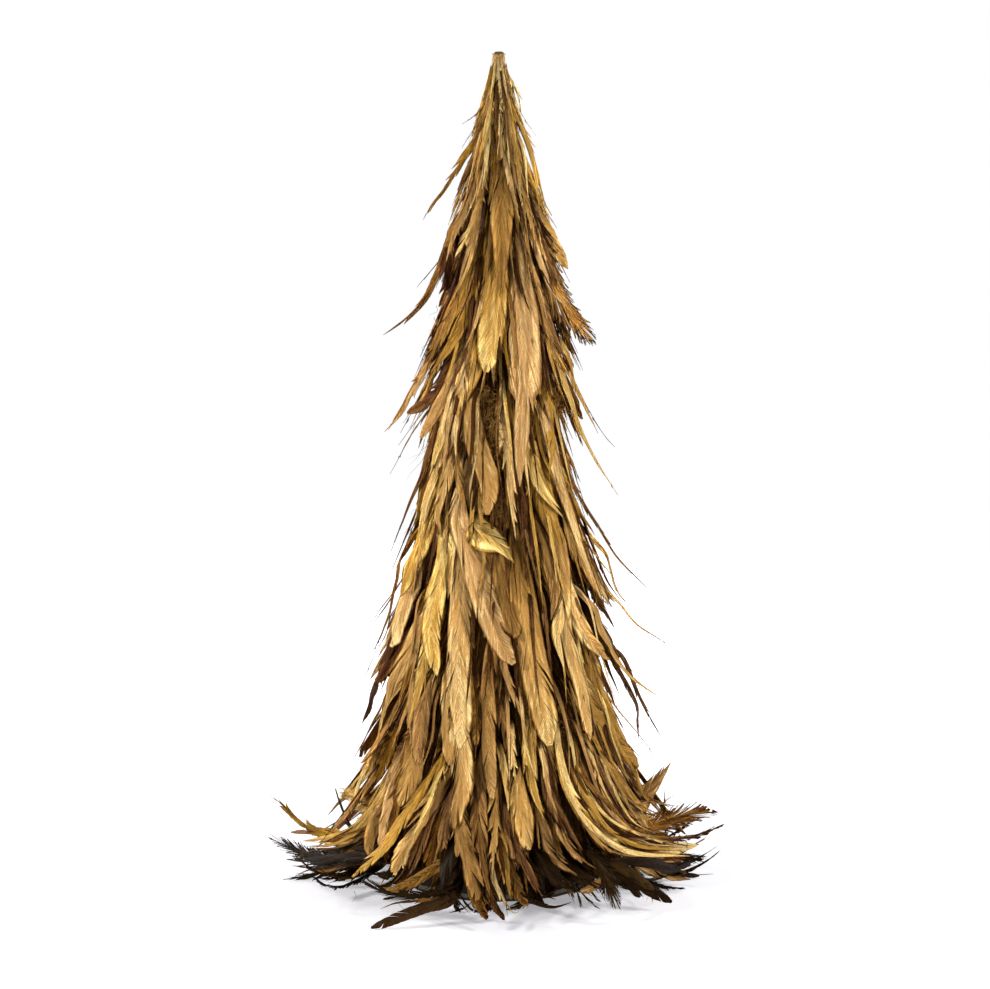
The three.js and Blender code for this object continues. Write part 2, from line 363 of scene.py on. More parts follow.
# %% Move loose barbs apart
loosest = 1.5
least_gap_share = 0.15
reach_per_gap = 5  # a gap is at most this part of its barb's reach
frayed_gap_share = 0.25
spread_rows = 2.5  # how many barbs on each side of a tear it pushes away
loose_lift = 0.35
loose_sway_share = 0.3
frayed_sway = 0.025  # shares of a barb's reach, as the next two
frayed_lift = 0.03
frayed_lengthening = (-0.16, 0.04)


def torn_shifts(chance, loose_from, spacing, reach, frayed, gape):
    count = len(loose_from)
    loose = (np.arange(1, columns) - loose_from[:, None] + 1) / (columns - loose_from[:, None] + 1e-9)
    loose = np.where(loose_from[:, None] < columns, np.clip(loose, 0, 1), 0)
    if frayed:
        gap = np.full(count, spacing * frayed_gap_share)
        pushed = 0
    else:
        widest = np.minimum(loosest, reach / reach_per_gap)
        gap = chance.uniform(least_gap_share, 1, count) ** 2 * gape * widest
        torn = np.flatnonzero(loose_from < columns)
        away = np.arange(count)[:, None] - torn
        pushed = (np.sign(away) * np.exp(-np.abs(away) / spread_rows) * gap[torn]) @ loose[torn]
    own = loose * gap[:, None]
    return loose, pushed + own, pushed - own


def place_barbs(grid, apart, barb, face_at, shift, loose, wild):
    moved = grid + apart[:, None] * shift[..., None]
    for way, amount in zip((apart, barb, face_at), wild.T):
        moved = moved + way[:, None] * (loose * amount[:, None])[..., None]
    return moved


def wild_ends(chance, count, reach, frayed):
    if not frayed:
        lifts = chance.normal(0, loose_lift, (count, 1)) * [loose_sway_share, 0, 1]
        return lifts, -lifts
    ends = np.stack([chance.normal(0, frayed_sway, count) * reach,
                     chance.uniform(*frayed_lengthening, count) * reach,
                     chance.normal(0, frayed_lift, count) * reach], axis=1)
    return ends, np.vstack([ends[:1], ends[:-1]])


print("a gap is at most this wide, in mm:", 2 * loosest)

# %% [markdown]
# One half of a vane is a grid: a line of points for each barb, from the rachis out. It is slightly
# arched and rippled, as feathers are that have been handled and glued. Each point keeps its notes for
# the material and its spot on the flat map.

# %% One half of a vane
long_ripples = (1, 2.5)  # how many along a feather
short_ripples = (3, 6)
short_ripple_share = 0.6
unevenness = 0.04
rippled_half_width = 5  # narrower halves ripple less
map_middle = 0.45
map_half_width = 0.43


def blend_along(values, shares):
    places = np.linspace(0, 1, len(values))
    return np.stack([np.interp(shares, places, values[:, axis]) for axis in range(3)], axis=-1)


def ripples(chance, roots):
    def wave(counts):
        return np.sin(2 * np.pi * (roots * chance.uniform(*counts) + chance.random()))

    return wave(long_ripples) + short_ripple_share * wave(short_ripples)


def half_vane(chance, sign, vane, shape, first_number):
    roots, ends, middle, face = vane["roots"], vane["ends"], vane["middle"], vane["face"]
    count, frayed, out = len(roots), shape["frayed"], barb_shares[1:]
    grid_size = (count, columns - 1)
    loose_from = tear_barbs(chance, count, ends, shape["tears"], frayed)
    half = half_widths(chance, shape["width"], shape["kind"], ends, loose_from, shape["ragged"])
    tips = blend_along(vane["spine"], ends) + blend_along(vane["side"], ends) * (sign * half)[:, None]
    reach = np.linalg.norm(tips - middle, axis=1)
    barb = unit(tips - middle)
    apart = unit(np.cross(face, barb))
    apart *= np.sign(np.sum(apart * vane["along"], axis=1, keepdims=True))
    swell = shape["ripple"] * vane["wave"] * np.minimum(1, half / rippled_half_width)
    swell = swell + chance.normal(0, unevenness, count)
    rise = swell[:, None] * out - shape["arch"] * half[:, None] * out**2
    grid = middle[:, None] + (tips - middle)[:, None] * out[None, :, None] + face[:, None] * rise[..., None]
    loose, after_shift, before_shift = torn_shifts(chance, loose_from, vane["spacing"], reach, frayed,
                                                   shape["gape"])
    after_wild, before_wild = wild_ends(chance, count, reach, frayed)
    after_points = place_barbs(grid, apart, barb, face, after_shift, loose, after_wild)
    before_points = place_barbs(grid, apart, barb, face, before_shift, loose, before_wild)
    note = np.stack([np.broadcast_to((roots * vane["length"])[:, None], grid_size),
                     sign * reach[:, None] * out, np.broadcast_to(out, grid_size)], axis=-1)
    spot = np.stack([np.broadcast_to(map_middle + sign * map_half_width * out, grid_size),
                     roots[:, None] + (ends - roots)[:, None] * out], axis=-1)
    free = loose > 0
    after = first_number + np.arange(count * (columns - 1)).reshape(grid_size)
    before = after.copy()
    before[free] = after.max() + 1 + np.arange(free.sum())
    after = np.hstack([np.arange(count)[:, None], after])
    before = np.hstack([np.arange(count)[:, None], before])
    faces = np.stack([after[:-1, :-1], after[:-1, 1:], before[1:, 1:], before[1:, :-1]], axis=-1)
    return (np.vstack([after_points.reshape(-1, 3), before_points[free]]),
            np.vstack([note.reshape(-1, 3), note[free]]),
            np.vstack([spot.reshape(-1, 2), spot[free]]), faces.reshape(-1, corners))


print("points along a barb:", columns)

# %% [markdown]
# Last a feather is given a thickness: its grid is copied inwards and walls close the rim, so that it is
# a solid body. A Solidify modifier would do the same, but it would give the back the front's notes, and
# the back got less spray.

# %% Close a feather
rachis_mark = 2.0  # the third note of a point: its place along its barb from 0 to 1, or this on the rachis
vane_thickness = 0.26
# The bare root is darker towards the tree: partly unsprayed, partly painted shade under the row above.
unsprayed_share = 0.4  # of the bare root
back_gilding = 0.75


def notes_for(barb_notes, look):
    notes = barb_notes.copy()
    notes[:, 2] = look["number"]
    along = notes[:, 0] / look["length"]
    sprayed = np.clip(along / look["bare"] - unsprayed_share, 0, 1) if look["bare"] else np.ones(len(notes))
    finish = np.stack([look["tone"] + look["tip"] * (along * 2 - 1), look["gilding"] * sprayed,
                       barb_notes[:, 2]], axis=1)
    return notes, finish


def close_feather(bundle, points, barb_notes, map_spots, faces, face, look):
    inward = blend_along(face, np.clip(barb_notes[:, 0] / look["length"], 0, 1))
    count = len(points)
    edges = np.concatenate([faces[:, [k, (k + 1) % corners]] for k in range(corners)])
    keys = edges[:, 0] * count + edges[:, 1]
    rim = edges[~np.isin(keys, edges[:, 1] * count + edges[:, 0])]
    walls = np.stack([rim[:, 1], rim[:, 0], rim[:, 0] + count, rim[:, 1] + count], axis=1)
    notes, finish = notes_for(barb_notes, look)
    back_finish = finish * [1, back_gilding, 1]
    plot = bundle.plot_count
    body = np.vstack([faces, faces[:, ::-1] + count, walls])
    spots = np.concatenate([map_spots[faces], map_spots[faces[:, ::-1]], map_spots[walls % count]])
    plots = np.repeat([plot, plot + 1, plot], [len(faces), len(faces), len(walls)])
    rounded = np.repeat([True, False], [2 * len(faces), len(walls)])
    solid = np.vstack([points, points - inward * vane_thickness])
    bundle.add(solid, np.vstack([notes, notes]), np.vstack([finish, back_finish]), body, spots, plots,
               rounded)


print("thickness of a feather in mm:", vane_thickness)

# %% [markdown]
# The rachis, a feather's shaft, is a thin tube along the middle of the vane that tapers to the tip.
# Four sides are enough for something a millimetre thick, because smooth shading rounds them. The same
# tube serves for loose barbs later.

# %% The rachis
rachis_radius = 0.5
rachis_sides = 4
rachis_rings = 14
rachis_end_share = 0.985
rachis_taper = 0.82
rachis_map = (0.93, 0.06)  # where its strip of the map starts, and how wide it is


def tube_around(centres, across, up, radii, sides):
    angles = 2 * np.pi * np.arange(sides) / sides
    ring = np.cos(angles)[:, None] * across[:, None] + np.sin(angles)[:, None] * up[:, None]
    points = (centres[:, None] + ring * radii[:, None, None]).reshape(-1, 3)
    start = np.arange(len(centres) - 1)[:, None] * sides
    here, there = np.arange(sides), (np.arange(sides) + 1) % sides
    quads = np.stack([start + here, start + here + sides, start + there + sides, start + there], axis=-1)
    last = (len(centres) - 1) * sides
    caps = np.array([[0, 1, 2, 3], [last + 3, last + 2, last + 1, last]])
    return points, np.vstack([quads.reshape(-1, corners), caps])


def add_tube(bundle, centres, across, up, radii, look, shares, strip):
    points, faces = tube_around(centres, across, up, radii, rachis_sides)
    along = np.repeat(shares, rachis_sides)
    marks = np.stack([along * look["length"], 0 * along, 0 * along + rachis_mark], axis=1)
    notes, finish = notes_for(marks, look)
    place = np.tile(np.arange(rachis_sides) / rachis_sides, len(shares))
    spots = np.stack([strip[0] + strip[1] * place, along], axis=1)
    bundle.add(points, notes, finish, faces, spots[faces], bundle.plot_count, True)


def add_rachis(bundle, spine, face, side, stoutness, look):
    shares = np.linspace(0, rachis_end_share, rachis_rings)
    centres = blend_along(spine, shares) - blend_along(face, shares) * vane_thickness / 2
    radii = rachis_radius * stoutness * (1 - rachis_taper * shares)
    add_tube(bundle, centres, blend_along(side, shares), blend_along(face, shares), radii, look, shares,
             rachis_map)


print("rings of a rachis:", rachis_rings)

# %% [markdown]
# Now one whole feather: its line, the way it faces, two half vanes and the rachis. A feather is also a
# little lighter or darker towards its tip, which chance decides.

# %% Build one feather
tip_variation = 0.12
twist_power = 1.5  # most of a twist is near the tip
stout_width = 14
least_stoutness = 0.2


def add_feather(bundle, path, width, kind, tone, gilding, turn=0.0, twist=0.0, towards_camera=0.0,
                arch=0.26, ripple=0.8, tears=2, frayed=False, ragged=0.12, gape=1.0, bare_shaded_root=0.25,
                fine=False):
    chance = bundle.chance
    spine, length = smooth_path(path)
    turns = turn + twist * np.linspace(0, 1, spine_steps) ** twist_power
    along, face, side = facing(spine, turns, towards_camera)
    roots, ends, spacing = barb_lines(length, width, frayed, fine)
    look = {"tone": tone, "tip": chance.normal(0, tip_variation), "gilding": gilding, "bare": bare_shaded_root,
            "length": length, "number": bundle.feathers}
    vane = {"spine": spine, "side": side, "roots": roots, "ends": ends, "spacing": spacing,
            "length": length, "middle": blend_along(spine, roots), "face": blend_along(face, roots),
            "along": blend_along(along, roots), "wave": ripples(chance, roots)}
    shape = {"width": width, "kind": kind, "arch": arch, "ripple": ripple, "tears": tears,
             "frayed": frayed, "ragged": ragged, "gape": gape}
    points, faces = [vane["middle"]], []
    notes = [np.stack([roots * length, 0 * roots, 0 * roots], axis=1)]
    spots = [np.stack([np.full(len(roots), map_middle), roots], axis=1)]
    for sign in (-1, 1):
        first_number = sum(len(group) for group in points)
        half = half_vane(chance, sign, vane, shape, first_number)
        for gathered, new in zip((points, notes, spots), half):
            gathered.append(new)
        faces.append(half[-1] if sign > 0 else half[-1][:, ::-1])
    close_feather(bundle, *(np.vstack(group) for group in (points, notes, spots, faces)), face, look)
    add_rachis(bundle, spine, face, side, min(1, width / stout_width + least_stoutness), look)
    bundle.plot_count += 2
    bundle.feathers += 1


add_feather(trial, trial_points, 20, "round", 0.5, 1.0)
print("a trial feather has points:", trial.point_count, "faces:", sum(len(group) for group in trial.faces))

# %% [markdown]
# Between the feathers hang loose barbs and curls of down, the fluff from the foot of each feather. They
# could be hair particles, but those don't survive an export, so each is a thin tube of its own with a
# pointed end, wandering a little by chance.

# %% Build loose barbs and curls of down
hair_steps = 9
hair_radius = 0.16
hair_tip_share = 0.05
hair_turns = (0.6, 1.7)
hair_map = (0.02, 0.9)
beside_start = [0.3, 1, 0.2]  # no barb points this way, so it serves to find what is square to one
beside_path = [0.1, 1, 0.15]


def add_hair(bundle, start, way, length, curl, tone, gilding):
    chance = bundle.chance
    shares = np.linspace(0, 1, hair_steps)
    phase, rate = chance.uniform(0, 2 * np.pi, 2), chance.uniform(*hair_turns, 2) * 2 * np.pi
    across = unit(np.cross(way, beside_start))
    bow = np.sin(phase[0] + rate[0] * shares) - math.sin(phase[0])
    roll = np.cos(phase[1] + rate[1] * shares) - math.cos(phase[1])
    wander = np.outer(bow, across) + np.outer(roll, np.cross(way, across))
    centres = start + np.outer(shares * length, way) + curl * wander
    along = unit(np.gradient(centres, axis=0))
    side = unit(np.cross(along, beside_path))
    radii = hair_radius * (1 + hair_tip_share - shares)
    look = {"tone": tone, "tip": 0.0, "gilding": gilding, "bare": 0.0, "length": length,
            "number": bundle.feathers}
    add_tube(bundle, centres, side, np.cross(side, along), radii, look, shares, hair_map)
    bundle.plot_count += 1
    bundle.feathers += 1


print("points along a loose barb:", hair_steps)

# %% [markdown]
# Colours are written as sRGB hex values, as in a paint chart, and turned to linear light in one place.
# A node tree is easier to read when each node is added with its settings and links in one line, so one
# small function does that for every kind of node.

# %% Colour and node helpers
def linear(hex_colour):
    parts = [int(hex_colour[k : k + 2], 16) / 255 for k in (1, 3, 5)]
    return [part / 12.92 if part <= 0.04045 else ((part + 0.055) / 1.055) ** 2.4 for part in parts] + [1]


def node(tree, kind, settings=None, **links):
    made = tree.nodes.new(kind)
    for name, value in (settings or {}).items():
        setattr(made, name, value)
    for name, value in links.items():
        socket = made.inputs[int(name[1:])] if name[1:].isdigit() else made.inputs[name.replace("_", " ")]
        if isinstance(value, bpy.types.NodeSocket):
            tree.links.new(value, socket)
        else:
            socket.default_value = value
    return made


def new_material(name):
    material = bpy.data.materials.new(name)
    material.use_nodes = True
    material.node_tree.nodes.clear()
    return material, material.node_tree


def finish_material(tree, shader):
    node(tree, "ShaderNodeOutputMaterial", Surface=shader.outputs["BSDF"])


def set_ramp(ramp, stops):
    elements = ramp.color_ramp.elements
    while len(elements) > 1:
        elements.remove(elements[-1])
    for number, (place, colour) in enumerate(stops):
        element = elements[0] if number == 0 else elements.new(place)
        element.position = place
        element.color = linear(colour)


print("gold paint in linear light:", [round(part, 3) for part in linear("#b38441")])

# %% [markdown]
# What does a sprayed feather look like from near? It has fine streaks along its barbs, broader ridges
# and bands, cloudy patches where more or less paint fell, and a speckle of drops. Barbs stand about
# 0.4 mm apart; that is finer than the picture can show, so the streaks are drawn 0.9 mm wide. Here and
# there two barbs part, which leaves a thin dark line: partly the dark barbs and partly painted shade in
# the gap. Each pair is how far a mark reaches along the feather and along its barbs, and each tone is
# how much lighter or darker it makes the paint.

# %% Marks on a feather
streak_mm, streak_tone = (0.9, 26), 0.7
ridge_mm, ridge_tone = (2.4, 45), 0.2
band_mm, band_tone = (5.0, 30), 0.1
cloud_mm, cloud_tone = (24, 7), 0.75
speckle_mm, speckle_tone = (1.3, 1.3), 0.6
# Partings: a dark line of the dark barbs and of painted shade in the gap.
parting_mm, parting_dark_and_shade = (3.2, 60), 0.7
freckle_patch_mm, freckle_loss = (24, 11), 0.5
parted_place_mm = (11, 9)
next_feather = 7.3  # how far the patterns jump from one feather to the next
parting_steps = (0.005, 0.036)
parted_place_steps = (0.5, 0.62)
freckle_steps = (0.5, 0.57)
freckle_patch_steps = (0.47, 0.58)
print("streaks in mm:", streak_mm)

# %% [markdown]
# Paint blown on from outside doesn't reach between feathers, so crevices stay dark: partly the unsprayed
# brown and partly painted shade, both where the nodes' ambient occlusion finds them. It uses six rays,
# enough for something this soft. The rim of the vane, where the barbs curl, gets a painted highlight, a
# light band, and its very edge, seen almost side on, gets a painted shadow, a dark line, which is what
# parts one feather from the next by eye.

# %% Painted shade in crevices, painted light on rims, and the paint's cover
crevice_mm = 6.0
crevice_rays = 6
crevice_steps = (0.15, 0.75)
# Crevices get painted shade: a darker tone where closed, and less paint cover, which is partly real.
crevice_painted_shade = 0.4
open_share = 0.8  # a place as open as this keeps its tone
crevice_cover_and_shade = 0.4
# Painted highlight on a vane's rim and painted shadow at its very edge.
rim_steps, rim_painted_highlight = (0.55, 0.84), 0.12
edge_steps, edge_painted_shadow = (0.86, 1.0), -0.3
cover_steps = (0.2, 0.6)
speckled_cover = 1.1
streaked_cover = 0.8
hue_low, hue_spread = 0.496, 0.012  # a hue of 0.5 leaves a colour as it is
saturation_low, saturation_spread = 0.89, 0.14
rachis_lightness = 0.2
streaked_roughness = 0.4
parting_depth = 0.5
streak_height = 0.5
speckle_height = 0.4
gloss_level = 0.12  # weak and warm, since barbs are horn and not varnish
gloss_tint = "#a98558"
print("crevices are this wide at most, in mm:", crevice_mm)

# %% [markdown]
# Gold-sprayed coque feather. The real one is a brown-black rooster feather with bronze paint blown on
# from outside, so the tips are solid satin gold, the parts under other feathers stay dark, partly
# unsprayed and partly by painted shade, and thin paint lets the brown show as a speckle. Paint with
# metal flakes is between a metal and a plastic, so Metallic stays well over a half. One function makes
# this finish and the black one, since both are barbs with more or less paint on them.

# %% Gilded feather material
def feather_material(name, tone_stops, bare_colour, dark_colour, metal, roughness, bump_mm):
    material, tree = new_material(name)
    barbs = node(tree, "ShaderNodeAttribute", {"attribute_name": "barbs"}).outputs["Vector"]
    finish = node(tree, "ShaderNodeAttribute", {"attribute_name": "finish"}).outputs["Vector"]
    parts = node(tree, "ShaderNodeSeparateXYZ", Vector=finish).outputs
    tone, gilding, reach = parts["X"], parts["Y"], parts["Z"]
    number = node(tree, "ShaderNodeSeparateXYZ", Vector=barbs).outputs["Z"]

    def noise(size_mm, detail):
        place = node(tree, "ShaderNodeVectorMath", {"operation": "MULTIPLY"}, _0=barbs,
                     _1=(1 / size_mm[0], 1 / size_mm[1], next_feather)).outputs[0]
        return node(tree, "ShaderNodeTexNoise", None, Vector=place, Scale=1.0, Detail=detail).outputs["Fac"]

    def maths(operation, first, second=0.0, third=0.0):
        made = node(tree, "ShaderNodeMath", {"operation": operation}, _0=first, _1=second, _2=third)
        return made.outputs[0]

    def add_scaled(first, second, scale, shift=0.0):
        return maths("ADD", first, maths("MULTIPLY_ADD", second, scale, shift))

    def sway(value, pattern, amount):
        return add_scaled(value, pattern, amount, -amount / 2)

    def smooth_step(value, low, high):
        return node(tree, "ShaderNodeMapRange", {"interpolation_type": "SMOOTHSTEP"}, Value=value,
                    From_Min=low, From_Max=high).outputs["Result"]

    def mix(share, first, second, blend="MIX"):
        return node(tree, "ShaderNodeMix", {"data_type": "RGBA", "blend_type": blend}, _0=share, _6=first,
                    _7=second).outputs[2]

    streaks = noise(streak_mm, 2.0)
    ridges = noise(ridge_mm, 1.0)
    bands = noise(band_mm, 1.0)
    clouds = noise(cloud_mm, 2.0)
    speckle = noise(speckle_mm, 2.0)
    from_parting = maths("ABSOLUTE", maths("SUBTRACT", noise(parting_mm, 0.0), 0.5))
    parted = maths("SUBTRACT", 1.0, smooth_step(from_parting, *parting_steps))
    parted = maths("MULTIPLY", parted, smooth_step(noise(parted_place_mm, 1.0), *parted_place_steps))
    # Ambient occlusion marks the crevices, for their painted shade and thinner paint.
    ao_openness = node(tree, "ShaderNodeAmbientOcclusion", {"samples": crevice_rays},
                    Distance=crevice_mm * mm).outputs["AO"]
    ao_openness = smooth_step(ao_openness, *crevice_steps)
    rachis = maths("GREATER_THAN", reach, (1 + rachis_mark) / 2)
    on_vane = maths("SUBTRACT", 1.0, rachis)
    rim = maths("MULTIPLY", smooth_step(reach, *rim_steps), on_vane)
    edge = maths("MULTIPLY", smooth_step(reach, *edge_steps), on_vane)

    shade = tone
    for pattern, amount in ((streaks, streak_tone), (ridges, ridge_tone), (bands, band_tone),
                            (clouds, cloud_tone), (speckle, speckle_tone)):
        shade = sway(shade, pattern, amount)
    # Painted rim highlight, then painted edge shadow.
    shade = add_scaled(shade, rim, rim_painted_highlight)
    shade = add_scaled(shade, edge, edge_painted_shadow - rim_painted_highlight)
    # Painted shade in crevices.
    shade = add_scaled(shade, ao_openness, crevice_painted_shade, -crevice_painted_shade * open_share)
    paint = node(tree, "ShaderNodeValToRGB", None, Fac=shade)
    set_ramp(paint, tone_stops)
    own = node(tree, "ShaderNodeTexWhiteNoise", {"noise_dimensions": "1D"}, W=number).outputs
    own_red = node(tree, "ShaderNodeSeparateColor", Color=own["Color"]).outputs["Red"]
    tinted = node(tree, "ShaderNodeHueSaturation", None,
                  Hue=maths("MULTIPLY_ADD", own["Value"], hue_spread, hue_low),
                  Saturation=maths("MULTIPLY_ADD", own_red, saturation_spread, saturation_low),
                  Color=paint.outputs["Color"]).outputs["Color"]

    cover = sway(gilding, speckle, speckled_cover)
    cover = sway(cover, streaks, streaked_cover)
    cover = smooth_step(cover, *cover_steps)
    in_patch = smooth_step(noise(freckle_patch_mm, 1.0), *freckle_patch_steps)
    freckles = maths("MULTIPLY", smooth_step(speckle, *freckle_steps), in_patch)
    cover = maths("MULTIPLY", cover, maths("MULTIPLY_ADD", freckles, -freckle_loss, 1.0))
    # Crevices keep less paint cover: partly unsprayed, partly painted shade.
    cover = maths("MULTIPLY", cover, maths("MULTIPLY_ADD", ao_openness, 1 - crevice_cover_and_shade, crevice_cover_and_shade))
    natural = mix(streaks, linear(dark_colour), linear(bare_colour))
    colour = mix(cover, natural, tinted)
    # Partings are mixed towards the dark colour, partly dark barbs and partly painted shade.
    colour = mix(maths("MULTIPLY", parted, parting_dark_and_shade), colour, linear(dark_colour))
    colour = mix(maths("MULTIPLY", rachis, rachis_lightness), colour, colour, "SCREEN")

    height = add_scaled(maths("MULTIPLY_ADD", parted, -parting_depth, ridges), streaks, streak_height)
    height = add_scaled(height, speckle, speckle_height)
    bump = node(tree, "ShaderNodeBump", None, Height=height, Strength=1.0, Distance=bump_mm * mm).outputs[0]
    gloss = maths("MULTIPLY_ADD", streaks, streaked_roughness, roughness - streaked_roughness / 2)
    shader = node(tree, "ShaderNodeBsdfPrincipled", None, Base_Color=colour,
                  Metallic=maths("MULTIPLY", cover, metal), Roughness=gloss, Normal=bump,
                  Specular_IOR_Level=gloss_level, Specular_Tint=linear(gloss_tint))
    finish_material(tree, shader)
    return material


gold_stops = [
    (0.0, "#241004"), (0.16, "#472710"), (0.32, "#70471c"), (0.48, "#956a28"), (0.62, "#ae7f37"),
    (0.76, "#b38441"), (0.88, "#c99b52"), (1.0, "#eccb80"),
]
gilded_feather = feather_material("gold_sprayed_coque_feather", gold_stops, "#4a2c12", "#1c0d04",
                                  metal=0.75, roughness=0.42, bump_mm=0.55)
print("material:", gilded_feather.name)

# %% [markdown]
# Natural black coque feather. Undyed rooster tail feathers are brown-black with a green and violet
# gloss that comes from the structure of the barbs. A little gold overspray lands on them near the tree.

# %% Black feather material
black_stops = [
    (0.0, "#0b0603"), (0.2, "#1c1208"), (0.35, "#2a200f"), (0.5, "#402810"), (0.65, "#241c14"),
    (0.8, "#4c3014"), (0.92, "#6b4519"), (1.0, "#94692c"),
]
black_feather = feather_material("natural_black_coque_feather", black_stops, "#2b1a0b", "#070402",
                                 metal=0.35, roughness=0.42, bump_mm=0.5)
print("material:", black_feather.name)

# %% [markdown]
# The rows. A feather of a row starts on the cone under its header tape and comes out from under the row
# above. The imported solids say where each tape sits, how wide the cone is there, and how low each row
# hangs. Only above the topmost tape do the roots show, so those are spread a little.

# %% Where the rows begin
gold_rows = 12
skirt_row = gold_rows
cone_low, cone_high = (corner.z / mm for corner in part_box("foam_cone"))
cone_foot_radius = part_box("foam_cone")[1].x / mm
cone_tip_radius = 3.4
cord_middle = 1.2
below_tape_top = 2.5
quill_above_top_tape = 5.5
quill_proud_at_top = 0.7
root_spread = (-6.0, 2.4)  # of the topmost row
header_tops = [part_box(f"header_tape_{row + 1:02d}")[1].z / mm for row in range(gold_rows)]
header_tops.append(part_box("skirt_tape")[1].z / mm)
row_names = [f"feather_row_{row + 1:02d}" for row in range(gold_rows)] + ["black_feather_skirt"]
row_lows = [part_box(name)[0].z / mm for name in row_names]


def cone_radius(height):
    share = (np.asarray(height) - cone_low) / (cone_high - cone_low)
    return cone_foot_radius + (cone_tip_radius - cone_foot_radius) * share + cord_middle


def root_spot(row):
    top = header_tops[row] - below_tape_top
    if row == 0:
        return top + quill_above_top_tape, cone_radius(top) - cord_middle + quill_proud_at_top
    return top, cone_radius(top)


def root_jitter(chance, row):
    return chance.uniform(*root_spread) if row == 0 else 0.0


print("tops of the tapes in mm:", [round(top) for top in header_tops])

# %% [markdown]
# Each row has four layers: a dark inner one all the way round, an outer one of broad feathers, narrow
# strays, and wisps, the thin dark or bright feathers that reach past the outline. The inner one is dark
# partly from less spray and partly by painted shade, a low tone for its depth. Each pair is the least
# and the most, but a tone is its middle and its spread.

# %% The layers of a row
layer_counts = {
    "inner": [18, 18, 20, 24, 28, 30, 32, 34, 36, 38, 40, 38, 36],
    "outer": [10, 11, 14, 16, 18, 19, 20, 21, 22, 23, 24, 26, 30],
    "stray": [36, 28, 24, 22, 22, 22, 24, 24, 26, 28, 28, 26, 12],
    "wisp": [0, 16, 18, 20, 22, 22, 20, 18, 16, 12, 8, 0, 0],
}
loose_barb_counts = [10, 12, 14, 16, 18, 18, 20, 20, 20, 20, 18, 14, 10]
row_widths = [5, 9, 12, 15, 17, 18, 18, 19, 20, 20, 20, 19, 13]
row_kinds = ["round", "point", "blunt", "point", "blade"]
layer_reaches = {"inner": (0.74, 0.93), "outer": (0.9, 1.05), "stray": (0.86, 1.04), "wisp": (0.98, 1.09)}
layer_width_shares = {"inner": (0.5, 0.95), "outer": (0.7, 1.15), "stray": (0.16, 0.34),
                      "wisp": (0.16, 0.3)}
# The inner layer's low tone is partly painted shade, for its depth under the outer feathers.
layer_tones = {"inner": (0.2, 0.14), "outer": (0.55, 0.2), "stray": (0.4, 0.26), "wisp": (0.28, 0.26)}
layer_gildings = {"inner": (0.2, 0.85), "outer": (0.7, 1.1), "stray": (0.5, 1.1), "wisp": (0.4, 1.1)}
skirt_tones, skirt_gildings = (0.1, 0.95), (0.1, 0.8)
print("feathers planned:", sum(sum(counts) for counts in layer_counts.values()))

# %% [markdown]
# Two kinds of line. A hanging feather goes from its root to near the outline, and one in five is kicked
# out at its tip. A sweeping feather, of the skirt and of a part of the lowest gold row, comes down to
# the table and runs outwards along it. Chance decides lengths and leans, from a fixed seed, so every
# run gives the same tree.

# %% The lines that feathers follow
hanging_lengths = (0.72, 1.04)  # shares of the way down to the row's lower end
hanging_shares = np.array([0, 0.1, 0.35, 0.65, 1])
hanging_bow = 1.05
lowest_hanging_tip = 13
least_way_out = 1.5
kicked_share = 0.2
kick_sizes = {"inner": 12, "outer": 12, "stray": 22, "wisp": 12}  # the furthest that a tip stands out
kick_full_reach = 60
lean_spread = 0.09
lean_reach = 60
sweep_floors = {"gold": 6.0, "skirt": 2.0}
sweep_reaches = {"gold": 156, "skirt": 166}
sweep_rises = {"gold": 28, "skirt": 34}
sweep_shares = np.array([0, 0.15, 0.4, 0.65, 0.85, 1])
sweep_bow = 1.2
sweep_fall = 1.8
sweep_lean = 0.16
front_angle = -math.pi / 2
front_window = math.radians(62)
front_skirt_reach = 0.72


def around(radii, heights, angles):
    return np.stack([radii * np.cos(angles), radii * np.sin(angles), heights], axis=1)


def off_front(angle):
    return abs((angle - front_angle + math.pi) % (2 * math.pi) - math.pi)


def kicked_up(shares):
    return np.clip((shares - 0.5) * 2, 0, 1) ** 2


def hanging_path(chance, row, angle, reaches, kick_size):
    top, start = root_spot(row)
    top += root_jitter(chance, row)
    low = max(top - (top - row_lows[row]) * chance.uniform(*hanging_lengths), lowest_hanging_tip)
    reach = max(outline_reach(low) * chance.uniform(*reaches), start + least_way_out)
    kicked = chance.random() < kicked_share
    kick = kick_size * min(1, reach / kick_full_reach) * chance.random() if kicked else 0
    radii = start + (reach - start) * hanging_shares**hanging_bow + kick * kicked_up(hanging_shares)
    lean = chance.normal(0, lean_spread) * (lean_reach / (reach + lean_reach / 2))
    return around(radii, top + (low - top) * hanging_shares, angle + lean * hanging_shares)


def sweeping_path(chance, row, angle, reaches):
    top, start = root_spot(row)
    part = "skirt" if row == skirt_row else "gold"
    in_front = off_front(angle) < front_window
    reach = sweep_reaches[part] * chance.uniform(*reaches) * (front_skirt_reach if in_front else 1)
    rise = 0 if in_front else sweep_rises[part] * chance.random() ** 2
    radii = start + (reach - start) * sweep_shares**sweep_bow
    fall = sweep_floors[part] + (top - sweep_floors[part]) * (1 - sweep_shares) ** sweep_fall
    heights = fall + rise * kicked_up(sweep_shares)
    return around(radii, heights, angle + chance.normal(0, sweep_lean) * sweep_shares**2)


trial_hang = hanging_path(np.random.default_rng(1), 5, 0, (1, 1), 0)
print("a trial feather of row 6 hangs to, in mm:", np.round(trial_hang[-1]))

